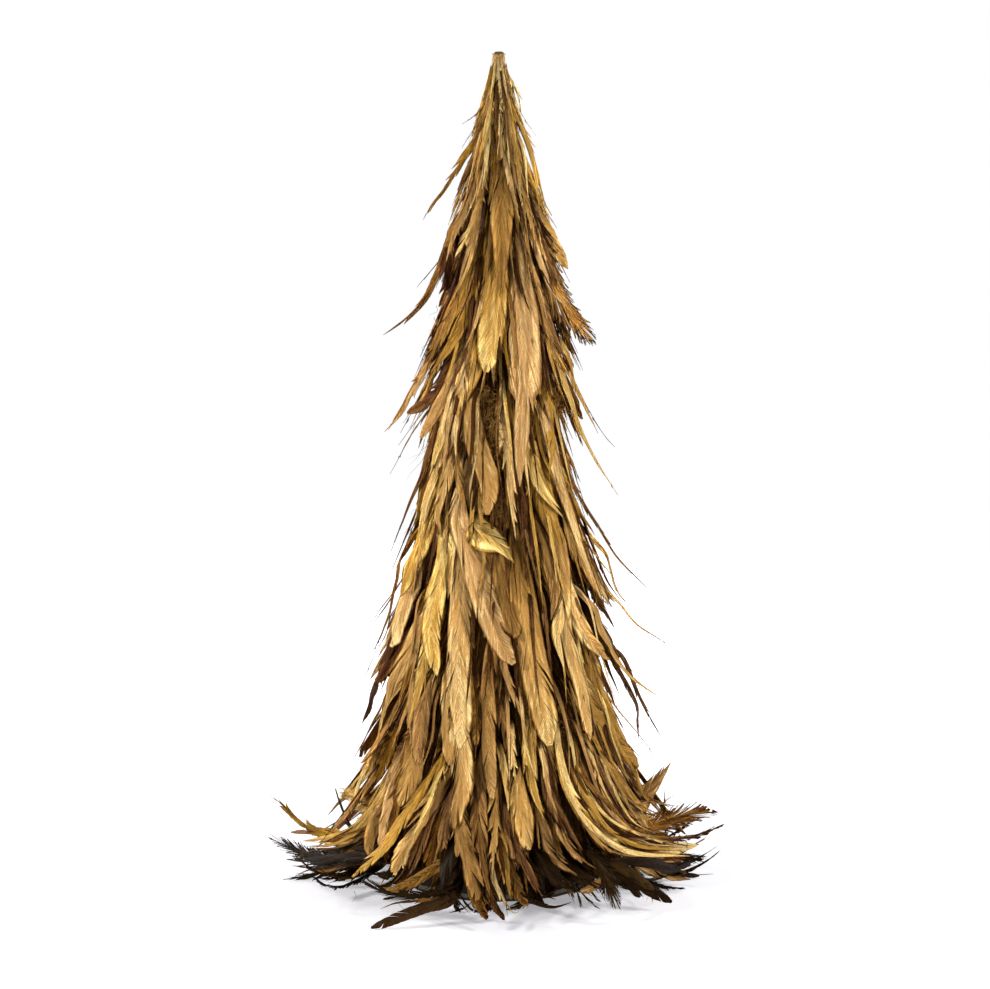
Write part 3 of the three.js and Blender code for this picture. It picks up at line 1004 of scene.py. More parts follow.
# %% [markdown]
# One feather of a row gets its width, outline, tone and spray from its layer. The photographed tree is
# brightest near the tip and darkest about two thirds of the way up, which the table of heights says.
# In the front window the outer layer is sparser, darker and a little deeper, because the feathers that
# the photograph shows are laid over it; its darkness is painted shade under them.

# %% One feather of a row
spray_by_height = [(0, 0.1, 0.25, 0.5, 0.62, 0.75, 0.84, 0.95),
                   (-0.04, 0, -0.02, -0.06, -0.18, -0.14, 0.14, 0.26)]  # shares of the height, and tone
front_sinking = 0.9
# Painted shade: outer feathers under the ones laid in front are darker by this share.
front_filler_painted_shade = 0.7
top_rows = 2
top_tone_spread = 1.7
swept_share = 0.6  # of the lowest gold row
row_turn = 0.25
row_twist = 0.4
row_ragged = 0.16
row_bare_shaded_root = 0.14
row_look = {"tears": (1, 5), "gape": 1.3, "frayed": 0.08}
skirt_look = {"tears": (4, 9), "gape": 1.8, "frayed": 0.5}
fraying_width = 10


def spray_at(height):
    return np.interp(height / tree_height, *spray_by_height)


def row_finish(chance, row, layer, sunk):
    if row == skirt_row:
        return chance.uniform(*skirt_tones), chance.uniform(*skirt_gildings)
    spray = spray_at(row_lows[row])
    middle, spread = layer_tones[layer]
    tone = chance.normal(middle, spread * (top_tone_spread if row < top_rows else 1))
    tone = np.clip(tone + (min(spray, 0) if layer == "inner" else spray), 0, 1)
    return tone * (front_filler_painted_shade if sunk else 1), chance.uniform(*layer_gildings[layer])


def add_row_feather(bundle, row, angle, layer):
    chance = bundle.chance
    skirt, lowest_gold = row == skirt_row, row == gold_rows - 1
    sunk = layer == "outer" and off_front(angle) < front_window
    reaches = np.array(layer_reaches[layer]) * (front_sinking if sunk else 1)
    width = row_widths[row] * chance.uniform(*layer_width_shares[layer])
    kind = "blade" if layer in ("stray", "wisp") else chance.choice(row_kinds)
    if skirt or (lowest_gold and chance.random() < swept_share):
        path = sweeping_path(chance, row, angle, reaches)
    else:
        path = hanging_path(chance, row, angle, reaches, kick_sizes[layer])
    tone, gilding = row_finish(chance, row, layer, sunk)
    look = skirt_look if skirt else row_look
    turn, twist = chance.normal(0, row_turn), chance.normal(0, row_twist)
    tears = int(chance.integers(*look["tears"]))
    frayed = width > fraying_width and chance.random() < look["frayed"] and not lowest_gold
    add_feather(bundle, path, width, kind, tone, gilding, turn=turn, twist=twist, tears=tears,
                ragged=row_ragged, gape=look["gape"], fine=layer == "outer",
                bare_shaded_root=0.0 if row == 0 else row_bare_shaded_root, frayed=frayed)


print("tone added at each height:", dict(zip(*spray_by_height)))

# %% [markdown]
# Loose barbs hang between the feathers of each row. They start a little inside the outline and point
# down and outwards.

# %% Loose barbs of a row
barb_places = (0.02, 0.75)  # shares of the row's height
barb_depth_share = 0.9
barb_way_out = (0.1, 0.7)
barb_disorder = 0.15
barb_lengths = (10, 26)
barb_curls = (1, 3.2)
barb_full_reach = 60
barb_floor = 4
least_fall = 0.1
shortest_barb = 4
barb_tones = (0, 0.6)
barb_gildings = (0, 0.8)


def add_loose_barbs(bundle, row, count):
    chance = bundle.chance
    top, low = header_tops[row], row_lows[row]
    for _ in range(count):
        height = low + (top - low) * chance.uniform(*barb_places)
        angle = chance.uniform(0, 2 * np.pi)
        radius = outline_reach(height) * barb_depth_share
        start = around(np.array([radius]), np.array([height]), np.array([angle]))[0]
        out = np.array([math.cos(angle), math.sin(angle), 0])
        way = unit(out * chance.uniform(*barb_way_out) + [0, 0, -1] + chance.normal(0, barb_disorder, 3))
        size = min(1, outline_reach(height) / barb_full_reach)
        length = chance.uniform(*barb_lengths) * size
        length = min(length, (height - barb_floor) / max(-way[2], least_fall))
        if length > shortest_barb:
            curl = chance.uniform(*barb_curls) * size
            tone, gilding = chance.uniform(*barb_tones), chance.uniform(*barb_gildings)
            add_hair(bundle, start, way, length, curl, tone, gilding)


print("loose barbs planned:", sum(loose_barb_counts))

# %% [markdown]
# Now all the rows. Each is a bundle with a seed of its own, so that a change in one row leaves the
# others as they are. The lowest gold row gets so many more feathers in front that those are a piece of
# their own, which keeps each mesh small enough to export whole.

# %% The rows all the way round
first_seed = 40
front_seed = 60
front_outer_share = 0.6  # of the outer layer's feathers, in the front window
foot_outer_share = 0.5  # of those, in the two lowest gold rows and the skirt
place_jitter = 0.35


def is_laid(chance, row, angle, layer):
    if off_front(angle) > front_window or layer == "inner":
        return True
    share = front_outer_share * (foot_outer_share if row >= gold_rows - 2 else 1)
    return layer != "outer" or chance.random() < share


piece_names = ["gilded_" + name.replace("_row", "s_row") for name in row_names[:gold_rows]]
piece_names.append("natural_black_feather_skirt")
bundles = [Bundle(name, first_seed + row) for row, name in enumerate(piece_names)]
foot_front = Bundle("gilded_feathers_row_12_front", front_seed)
for row, bundle in enumerate(bundles):
    for layer, counts in layer_counts.items():
        for place in range(counts[row]):
            jitter = bundle.chance.uniform(-place_jitter, place_jitter)
            angle = 2 * np.pi * (place + jitter) / counts[row] + row
            if is_laid(bundle.chance, row, angle, layer):
                add_row_feather(bundle, row, angle, layer)
    add_loose_barbs(bundle, row, loose_barb_counts[row])
print("feathers and loose barbs all the way round:", sum(bundle.feathers for bundle in bundles))

# %% [markdown]
# The front of the tree. These feathers are laid one by one, each along the points where it is seen in
# the photograph, from where it comes out to its tip. The words give its outline and its tone, from
# dark to bright. Mauve, umber and bronze are bright ones, named for their look in the photograph.
# The numbers are its width in the picture and how far forward it lies among its neighbours, and a few
# carry settings of their own, such as frayed barbs.

# %% How the front feathers look
tones = {"black": 0.14, "dark": 0.12, "brown": 0.28, "olive": 0.42, "ochre": 0.54, "gold": 0.62,
         "tan": 0.72, "mauve": 0.78, "umber": 0.84, "bright": 0.84, "bronze": 0.97}
gildings = {"black": 0.35, "dark": 0.5, "brown": 0.75, "olive": 0.85, "bright": 1.1, "gold": 1.1,
            "umber": 0.8}
plain_gilding = 1.0
frayed = {"frayed": True}
tattered = {"tears": 6, "gape": 1.7, "ragged": 0.2}
speckled = {"gilding": 0.62}
broadside = {"towards_camera": 3.0, "turn": 0.0, "twist": 0.0}
curled = {**broadside, "arch": 0.4, "ripple": 0.6, "tears": 5}
frayed_broadside = {**frayed, **broadside}
tatter_by_height = [(0, 0.15, 0.3, 0.6, 0.8, 1), (1.5, 1.3, 1, 1.3, 1.5, 1.2)]  # shares, times as torn
print("tones:", ", ".join(tones))

# %% [markdown]
# A feather's path is where its points in the photograph meet the tree, one after the other. Lines of
# sight alone would make it wander in depth, so its depths are evened out to a straight line or a soft
# bow. Two more points lead its hidden root up to the tape of a row above.

# %% Lay a feather along points of the photograph
picture_mm = 0.739
ragged_widening = 1.06  # a ragged vane reaches its full width only here and there
layer_depth = 2.0
root_depth = -8.0
tip_depth = 1.5
hidden_root = 22
root_pull = 1.4  # how much the root's spot counts in the point half way to it
least_root_rise = 2
# Above this height the roots show, so they get no darker bare root and no painted shade.
covered_height = 0.86 * tree_height  # above this the feathers' roots show, so they are sprayed too
straight_below = 5  # fewer points than this are evened out to a straight line
laid_tears = (2, 6)
laid_gapes = (0.4, 1.5)
laid_ragged = 0.08
laid_turn = 0.25
laid_twist = 0.2
laid_bare_shaded_root = 0.1
laid_ripple = 1.1
laid_towards_camera = 0.6
tone_disorder = 0.03


def seen_path(pixels, layer):
    depths = np.linspace(root_depth, tip_depth, len(pixels)) + layer * layer_depth
    spots = np.array([spot_on_tree(pixel, depth) for pixel, depth in zip(pixels, depths)])
    steps = np.linalg.norm(np.diff(spots[:, [0, 2]], axis=0), axis=1)
    places = np.concatenate([[0], np.cumsum(steps)])
    bow = 1 if len(pixels) < straight_below else 2
    even = np.polyval(np.polyfit(places, spots[:, 1], bow), places)
    shares = (even - camera_spot[1]) / (spots[:, 1] - camera_spot[1])
    return camera_spot + (spots - camera_spot) * shares[:, None]


def row_above(height):
    above = [number for number, top in enumerate(header_tops) if top > height + hidden_root]
    return min(above[-1] if above else 0, gold_rows - 1)


def hidden_path(chance, row, first):
    top, start = root_spot(row)
    top = max(top + root_jitter(chance, row), first[2] + least_root_rise)
    angle = math.atan2(first[1], first[0])
    half_way = (start * root_pull + np.hypot(first[0], first[1])) / (1 + root_pull)
    heights = np.array([top, (top + first[2]) / 2])
    return around(np.array([start, half_way]), heights, np.array([angle, angle]))


def lay(kind, width, layer, colour, pixels, extras=None, row=None):
    seen = seen_path(pixels, layer)
    first, tip_height = seen[0], seen[-1][2]
    row = row_above(first[2]) if row is None else row
    bundle = foot_front if row == gold_rows - 1 else bundles[row]
    chance = bundle.chance
    path = np.vstack([hidden_path(chance, row, first), seen])
    tatter = np.interp(tip_height / tree_height, *tatter_by_height)
    settings = {
        "gilding": gildings.get(colour, plain_gilding),
        "tears": int(chance.integers(*laid_tears) * tatter),
        "gape": chance.uniform(*laid_gapes) * tatter,
        "ragged": laid_ragged * tatter,
        "turn": chance.normal(0, laid_turn),
        "twist": chance.normal(0, laid_twist),
        "towards_camera": laid_towards_camera,
        "ripple": laid_ripple,
        "bare_shaded_root": 0.0 if first[2] > covered_height else laid_bare_shaded_root,
        "fine": True,
        **(extras or {}),
    }
    tone = np.clip(tones[colour] + spray_at(tip_height) + chance.normal(0, tone_disorder), 0, 1)
    add_feather(bundle, path, width * picture_mm * ragged_widening, kind, tone, **settings)


def lay_all(feathers, what, row=None):
    for feather in feathers:
        lay(*feather, row=row)
    print(what, len(feathers))


print("a feather that comes out half way up grows from row:", row_above(tree_height / 2) + 1)

# %% [markdown]
# Near the top the feathers are narrow and short, and close under the paper tip only strands show.
# Each line of these tables is one feather: outline, width, layer, tone and its points in pixels.

# %% Front feathers near the top
top_feathers = [
    ("point", 11, 3, "ochre", [(503, 72), (506.7, 96), (513, 129), (522, 157), (532, 182)]),
    ("blade", 7, 2, "bright", [(507.7, 74), (518, 93), (521.5, 113)]),
    ("blade", 7, 1, "gold", [(521, 125), (530, 143), (537, 172), (544.5, 201)]),
    ("blade", 4, 1, "gold", [(516, 100), (521, 116), (530, 143)]),
    ("point", 11, 4, "bright", [(508, 140), (514, 166), (520, 190), (524, 212)]),
    ("point", 13, 2, "ochre", [(514, 150), (522, 172.6), (535, 204)]),
    ("point", 9, 3, "bright", [(497, 90), (490, 118), (486, 142), (487, 173)]),
    ("blade", 8, 2, "brown", [(484, 110), (475, 139), (461, 160), (444.5, 188), (432, 205), (423, 220)],
     broadside),
    ("point", 11, 1, "brown", [(486, 120), (477, 152), (468, 167), (456.7, 196)]),
    ("blunt", 14, 0, "brown", [(486, 135), (481, 167), (479, 204)]),
    ("blade", 3, 3, "dark", [(490, 92), (477, 113), (462, 124)]),
    ("blade", 9, 0, "dark", [(497, 110), (496, 150), (498, 200)]),
    ("blade", 6, 1, "gold", [(500, 100), (501, 140), (505, 175)]),
    ("point", 9, 1, "ochre", [(492, 80), (485, 105), (478, 130)]),
    ("blade", 5, 0, "brown", [(497, 76), (492, 100), (488, 128)]),
    ("blade", 5, 2, "gold", [(499, 74), (499, 100), (503, 122)]),
    ("blade", 5, 1, "dark", [(504, 76), (512, 102), (519, 128)]),
    ("blade", 4, 3, "bright", [(500, 68), (501, 88), (504, 110)]),
    ("blade", 3, 4, "bright", [(498, 61), (499, 78), (500, 102)]),
    ("blade", 3, 4, "gold", [(495, 62), (493, 80), (489, 104)]),
    ("blade", 3, 4, "tan", [(501, 62), (504, 80), (509, 104)]),
    ("blade", 3, 4, "dark", [(502, 66), (507, 84), (514, 106)]),
    ("blade", 3, 4, "brown", [(493, 65), (489, 84), (484, 106)]),
    ("blade", 3, 3, "tan", [(495, 70), (491, 92), (484, 118)]),
    ("blade", 3, 2, "gold", [(497, 68), (496, 90), (492, 116)]),
    ("blade", 3, 4, "gold", [(503, 70), (511, 92), (517, 112)]),
    ("blade", 4, 3, "brown", [(494, 74), (488, 98), (481, 124), (470, 146)]),
    ("blade", 3, 4, "bright", [(498, 100), (499, 130), (497, 160)]),
    ("blade", 4, 3, "tan", [(506, 110), (508, 140), (510, 170)]),
    ("blade", 4, 2, "bright", [(491, 130), (488, 160), (484, 185)]),
    ("blade", 5, 3, "ochre", [(520, 150), (531, 178), (541, 200), (550, 222)]),
    ("blade", 4, 2, "brown", [(528, 165), (541, 195), (552, 216)]),
    ("round", 14, 1, "tan", [(489, 170), (483.5, 200), (469.7, 229), (455, 257)]),
    ("round", 17, 2, "bright", [(532, 190), (539.7, 211.5), (551, 240), (564, 261), (568, 269)]),
    ("point", 12, 3, "bright", [(524, 180), (526, 200), (526, 234), (531.7, 262)]),
    ("point", 20, 2, "brown", [(530, 205), (534, 229), (548, 269), (557, 298)]),
    ("point", 10, 0, "gold", [(492, 185), (489, 206), (472, 250), (464, 273)]),
    ("point", 12, 1, "tan", [(478, 170), (466, 205), (452, 240), (446, 262)]),
    ("blade", 7, 1, "ochre", [(470, 165), (458, 195), (448, 225)]),
    ("point", 9, 2, "gold", [(498, 165), (494, 195), (490, 225)]),
    ("point", 10, 1, "tan", [(508, 175), (514, 205), (519, 238)]),
]
lay_all(top_feathers, "near the top:")

# %% [markdown]
# Further down they get broader and longer, and some fan out to both sides. The frayed one at the right
# is a feather whose barbs have all let go.

# %% Front feathers in the upper third
upper_feathers = [
    ("blunt", 27, 4, "mauve", [(496, 225), (496, 245), (496, 273.5), (493.8, 315), (489, 355),
     (486, 372)]),
    ("point", 25, 7, "gold", [(503, 195), (502, 209), (501, 252), (500, 298)]),
    ("forked", 33, 4, "tan", [(513, 235), (515.6, 269), (522, 324), (524.8, 372), (523.7, 412),
     (520, 450), (520, 487)]),
    ("point", 26, 2, "ochre", [(506, 230), (510, 262), (522, 305), (533, 345)]),
    ("point", 22, 4, "gold", [(478, 245), (469.7, 280), (461.7, 320.5), (447.9, 349), (430, 373)]),
    ("point", 16, 3, "ochre", [(466, 275), (455.9, 303), (440, 338), (427, 366.5)]),
    ("round", 17, 1, "brown", [(452, 228), (447, 257), (445.6, 291)]),
    ("blade", 9, 2, "olive", [(456, 225), (448, 246), (435, 278), (421.5, 303), (405, 320), (383, 335)],
     broadside),
    ("blunt", 50, 2, "ochre", [(538, 245), (547, 275), (568, 310), (597, 342)],
     {**frayed, "gilding": 0.7}),
    ("blade", 8, 4, "bright", [(534, 240), (543, 269), (553.5, 292), (570.7, 311)]),
    ("point", 20, 1, "mauve", [(534, 290), (542, 320.5), (557, 355), (570.7, 379)]),
    ("point", 12, 3, "dark", [(540, 345), (547, 375), (552, 402)]),
    ("blade", 8, 2, "mauve", [(566, 350), (574, 380), (585, 405), (598, 433)]),
    ("blade", 4, 1, "brown", [(572, 375), (588, 408), (605, 436), (614.7, 446.6)]),
    ("point", 10, 3, "bright", [(558, 360), (567, 388), (579.6, 422), (586.7, 440), (602, 469),
     (618, 495)]),
    ("point", 9, 1, "dark", [(556, 372), (564, 394), (572.6, 422), (583, 446)]),
    ("blade", 9, 0, "olive", [(446, 320), (428, 360), (408, 395), (388, 430)]),
    ("blunt", 14, 2, "brown", [(446, 375), (427.6, 401), (407, 413)]),
    ("blade", 8, 3, "tan", [(425, 370), (408, 400), (398.5, 416), (384, 432)]),
    ("blade", 4, 2, "brown", [(440, 395), (422.7, 418), (408, 439), (398.5, 458), (390, 474)]),
    ("blunt", 13, 3, "tan", [(454, 372), (442, 400), (432, 418), (420, 438)]),
    ("point", 20, 3, "mauve", [(476, 340), (471, 370), (455, 403), (442, 434), (429, 476)]),
    ("point", 16, 4, "bright", [(465, 360), (461, 389), (454, 425), (456, 459)]),
    ("point", 14, 1, "ochre", [(540, 300), (553, 335), (566, 360)]),
]
lay_all(upper_feathers, "in the upper third:")

# %% [markdown]
# Between broad feathers the eye finds narrow slips of others, one bright and one dark side by side.
# They lie further forward than the broad ones, so that they stay in sight.

# %% Narrow feathers between them
narrow_feathers = [
    ("blade", 6, 6, "bright", [(508, 168), (514, 198), (521, 226)]),
    ("blade", 5, 5, "dark", [(512, 172), (520, 204), (528, 236)]),
    ("blade", 7, 6, "gold", [(519, 176), (529, 212), (538, 250)]),
    ("blade", 5, 5, "black", [(524, 180), (535, 215), (545, 246)]),
    ("blade", 5, 6, "bright", [(535, 218), (542, 248), (551, 276)]),
    ("blade", 5, 5, "black", [(514, 262), (522, 290), (532, 318)]),
    ("blade", 6, 6, "bright", [(530, 262), (540, 292), (548, 322)]),
    ("blade", 5, 5, "bright", [(490, 128), (486, 162), (482, 190)]),
    ("blade", 4, 5, "black", [(493, 132), (492, 165), (489, 200)]),
    ("blade", 6, 6, "gold", [(481, 198), (474, 228), (464, 258)]),
    ("blade", 4, 5, "dark", [(484, 204), (480, 236), (473, 264)]),
    ("blade", 5, 6, "bright", [(474, 244), (465, 274), (452, 300)]),
    ("blade", 5, 5, "dark", [(478, 262), (468, 296), (455, 326)]),
    ("blade", 5, 6, "bright", [(484, 290), (476, 322), (464, 350)]),
    ("blade", 5, 6, "gold", [(545, 332), (552, 362), (561, 392)]),
    ("blade", 4, 5, "black", [(539, 330), (545, 362), (550, 398)]),
    ("blade", 5, 6, "bright", [(452, 388), (444, 420), (436, 452)]),
    ("blade", 4, 5, "black", [(458, 396), (452, 430), (446, 466)]),
]
lay_all(narrow_feathers, "narrow ones between them:")

# %% [markdown]
# From here down the feathers are at their broadest. The shell-shaped one in the middle is curled over
# and faces the viewer, so it has settings of its own.

# %% Front feathers in the middle
middle_feathers = [
    ("blunt", 22, 3, "tan", [(467, 385), (471, 415), (476.5, 446.5), (488, 480), (487, 515)]),
    ("blade", 12, 4, "bright", [(505, 435), (508, 459), (512, 498), (516, 540)]),
    ("shell", 28, 8, "bright", [(474, 527), (487, 534), (500, 546), (514, 563)], curled),
    ("point", 24, 3, "tan", [(520, 425), (527.6, 453), (540, 485), (563, 517)]),
    ("point", 15, 4, "gold", [(545, 385), (549, 415), (552, 446.5), (549, 476)]),
    ("point", 13, 5, "bright", [(544, 415), (552, 444), (561, 480), (573, 520), (583, 552), (594, 588)]),
    ("point", 24, 2, "ochre", [(536, 465), (544, 498), (553, 529), (564.5, 559)]),
    ("blunt", 18, 1, "dark", [(514, 460), (521, 491), (529, 529), (540, 559)]),
    ("blade", 13, 4, "bright", [(440, 440), (434, 472), (425.5, 504), (420, 540)]),
    ("blade", 14, 2, "mauve", [(446, 445), (442, 472), (437, 510), (430.6, 542)]),
    ("blade", 12, 2, "ochre", [(457, 455), (460, 485), (466, 515)]),
    ("blade", 8, 3, "brown", [(444, 410), (435, 431.5), (422.7, 469), (414, 490), (400, 527), (390, 553)]),
    ("blade", 9, 3, "bright", [(443, 440), (436.6, 469), (427.5, 491), (421.5, 515), (418, 535)]),
    ("round", 24, 3, "mauve", [(430, 500), (422.7, 539), (408, 570), (400, 597)]),
    ("point", 18, 2, "gold", [(466, 370), (459, 400), (452, 436), (440, 468)]),
    ("blade", 13, 3, "tan", [(452, 455), (444.5, 485), (437, 515), (442, 539)]),
    ("point", 12, 1, "ochre", [(560, 470), (568, 496.5), (581, 513), (595, 535)]),
    ("blade", 6, 2, "brown", [(564, 455), (574, 485), (595, 520), (616, 555), (638.6, 579), (651, 591)]),
    ("point", 15, 2, "ochre", [(572, 490), (584, 520), (598, 555), (609, 583), (622, 602)]),
    ("point", 18, 2, "gold", [(568, 520), (578, 550), (592, 580), (604, 604)]),
    ("blade", 10, 1, "dark", [(473, 440), (476, 480), (470, 520)]),
    ("round", 20, 5, "bright", [(438, 520), (446, 550), (436, 592), (430.7, 634), (437, 676)]),
    ("round", 26, 4, "tan", [(464, 540), (460, 568), (460, 620), (458, 676), (462, 720), (459, 750)]),
    ("blunt", 25, 6, "tan", [(458, 515), (468.6, 550), (486, 606), (502, 645), (514, 664)]),
    ("blunt", 30, 3, "olive", [(492, 530), (499.4, 564), (509, 606), (516, 638)]),
    ("blunt", 24, 2, "tan", [(418, 555), (410.6, 580), (403, 604), (395, 631), (391, 647)]),
    ("point", 16, 3, "mauve", [(478, 505), (474, 540), (488, 580), (500, 612)]),
    ("point", 20, 2, "olive", [(536, 520), (546, 552), (555, 592), (551, 620)]),
    ("point", 20, 4, "tan", [(552, 520), (558, 550), (562.6, 606), (557, 634), (564, 669)]),
    ("round", 20, 4, "bright", [(560, 565), (568, 592), (586, 634), (596, 646), (610, 660)]),
    ("point", 14, 3, "bright", [(576, 525), (586, 550), (598, 592), (607, 604)]),
]
lay_all(middle_feathers, "in the middle:")

# %% [markdown]
# The lower half is as broad, but its feathers hang more steeply, with thin dark ones at both edges.

# %% Front feathers in the lower half
lower_feathers = [
    ("point", 25, 4, "tan", [(434, 595), (422.7, 622), (408, 652), (392, 683), (384, 713)]),
    ("point", 15, 3, "bright", [(430, 635), (422.7, 665), (417, 693), (408, 729)]),
    ("blunt", 17, 4, "olive", [(494, 628), (490, 657), (487, 690), (487, 732), (489.6, 770), (492, 800)],
     speckled),
    ("blunt", 30, 5, "gold", [(522, 590), (526, 620), (535, 668), (545, 712), (550, 746)]),
    ("round", 16, 5, "bright", [(562, 605), (568, 637), (580, 680), (590.6, 741)]),
    ("blunt", 18, 3, "mauve", [(450, 675), (447, 704), (448, 735), (450, 765)]),
    ("blunt", 17, 3, "olive", [(430, 680), (422, 711), (419, 740), (418, 765)]),
    ("blade", 9, 3, "gold", [(502, 655), (509, 683), (520, 712), (527.5, 736)]),
    ("blade", 7, 1, "brown", [(404, 548), (396, 580), (390, 607), (384, 626), (371, 656)]),
    ("blade", 3, 1, "dark", [(392, 612), (385, 636), (374, 655), (361, 686)]),
    ("round", 12, 2, "dark", [(396, 622), (388, 650), (379, 676), (370, 700), (362, 723)]),
    ("blade", 6, 1, "brown", [(388, 690), (380, 708), (368, 731.5), (352, 761)]),
    ("blade", 8, 1, "tan", [(386, 705), (379, 731.5), (368, 756), (355, 775)]),
    ("blade", 12, 2, "ochre", [(412, 680), (407, 707), (398, 730), (390, 752)]),
    ("point", 19, 3, "tan", [(424, 690), (418, 719), (410, 745), (401, 772)]),
    ("blade", 10, 1, "tan", [(604, 550), (614, 580), (621, 596), (629, 604)]),
    ("blade", 6, 2, "tan", [(594, 560), (607, 587), (620, 603), (638, 625), (655, 636), (671, 646)]),
    ("point", 14, 1, "dark", [(582, 560), (592, 586), (605, 610), (615, 629)]),
    ("blade", 8, 0, "dark", [(580, 570), (587, 596), (599, 628.5), (610, 650)]),
    ("point", 12, 4, "tan", [(592, 605), (604, 634.5), (622, 665), (640.6, 683), (660, 697)]),
    ("round", 12, 1, "dark", [(606, 630), (616, 662), (628.5, 683), (637, 707), (639, 738)]),
    ("blade", 7, 0, "black", [(622, 655), (634, 684), (645, 707), (662, 738)]),
    ("point", 11, 1, "dark", [(582, 625), (592, 653), (607, 685), (616, 708)]),
    ("blade", 4, 2, "ochre", [(584, 645), (592, 670), (610, 699), (637, 731.5), (659, 761)]),
    ("point", 17, 2, "ochre", [(588, 655), (596, 683), (610, 713), (623, 740)]),
    ("blunt", 22, 3, "gold", [(586, 690), (598, 725), (616, 746), (638, 768)]),
    ("blunt", 16, 1, "brown", [(470, 660), (474, 700), (476, 745)]),
    ("point", 14, 2, "ochre", [(536, 700), (545, 735), (556, 770)]),
    ("point", 12, 1, "brown", [(500, 700), (507, 740), (515, 785)]),
    ("point", 16, 1, "dark", [(560, 700), (575, 745), (590, 785)]),
]
lay_all(lower_feathers, "in the lower half:")

# %% [markdown]
# Round the foot the gold feathers sweep outwards over the table. They all belong to the lowest gold row,
# so its number is passed on. On the right and left some are frayed or lie broadside to the viewer.

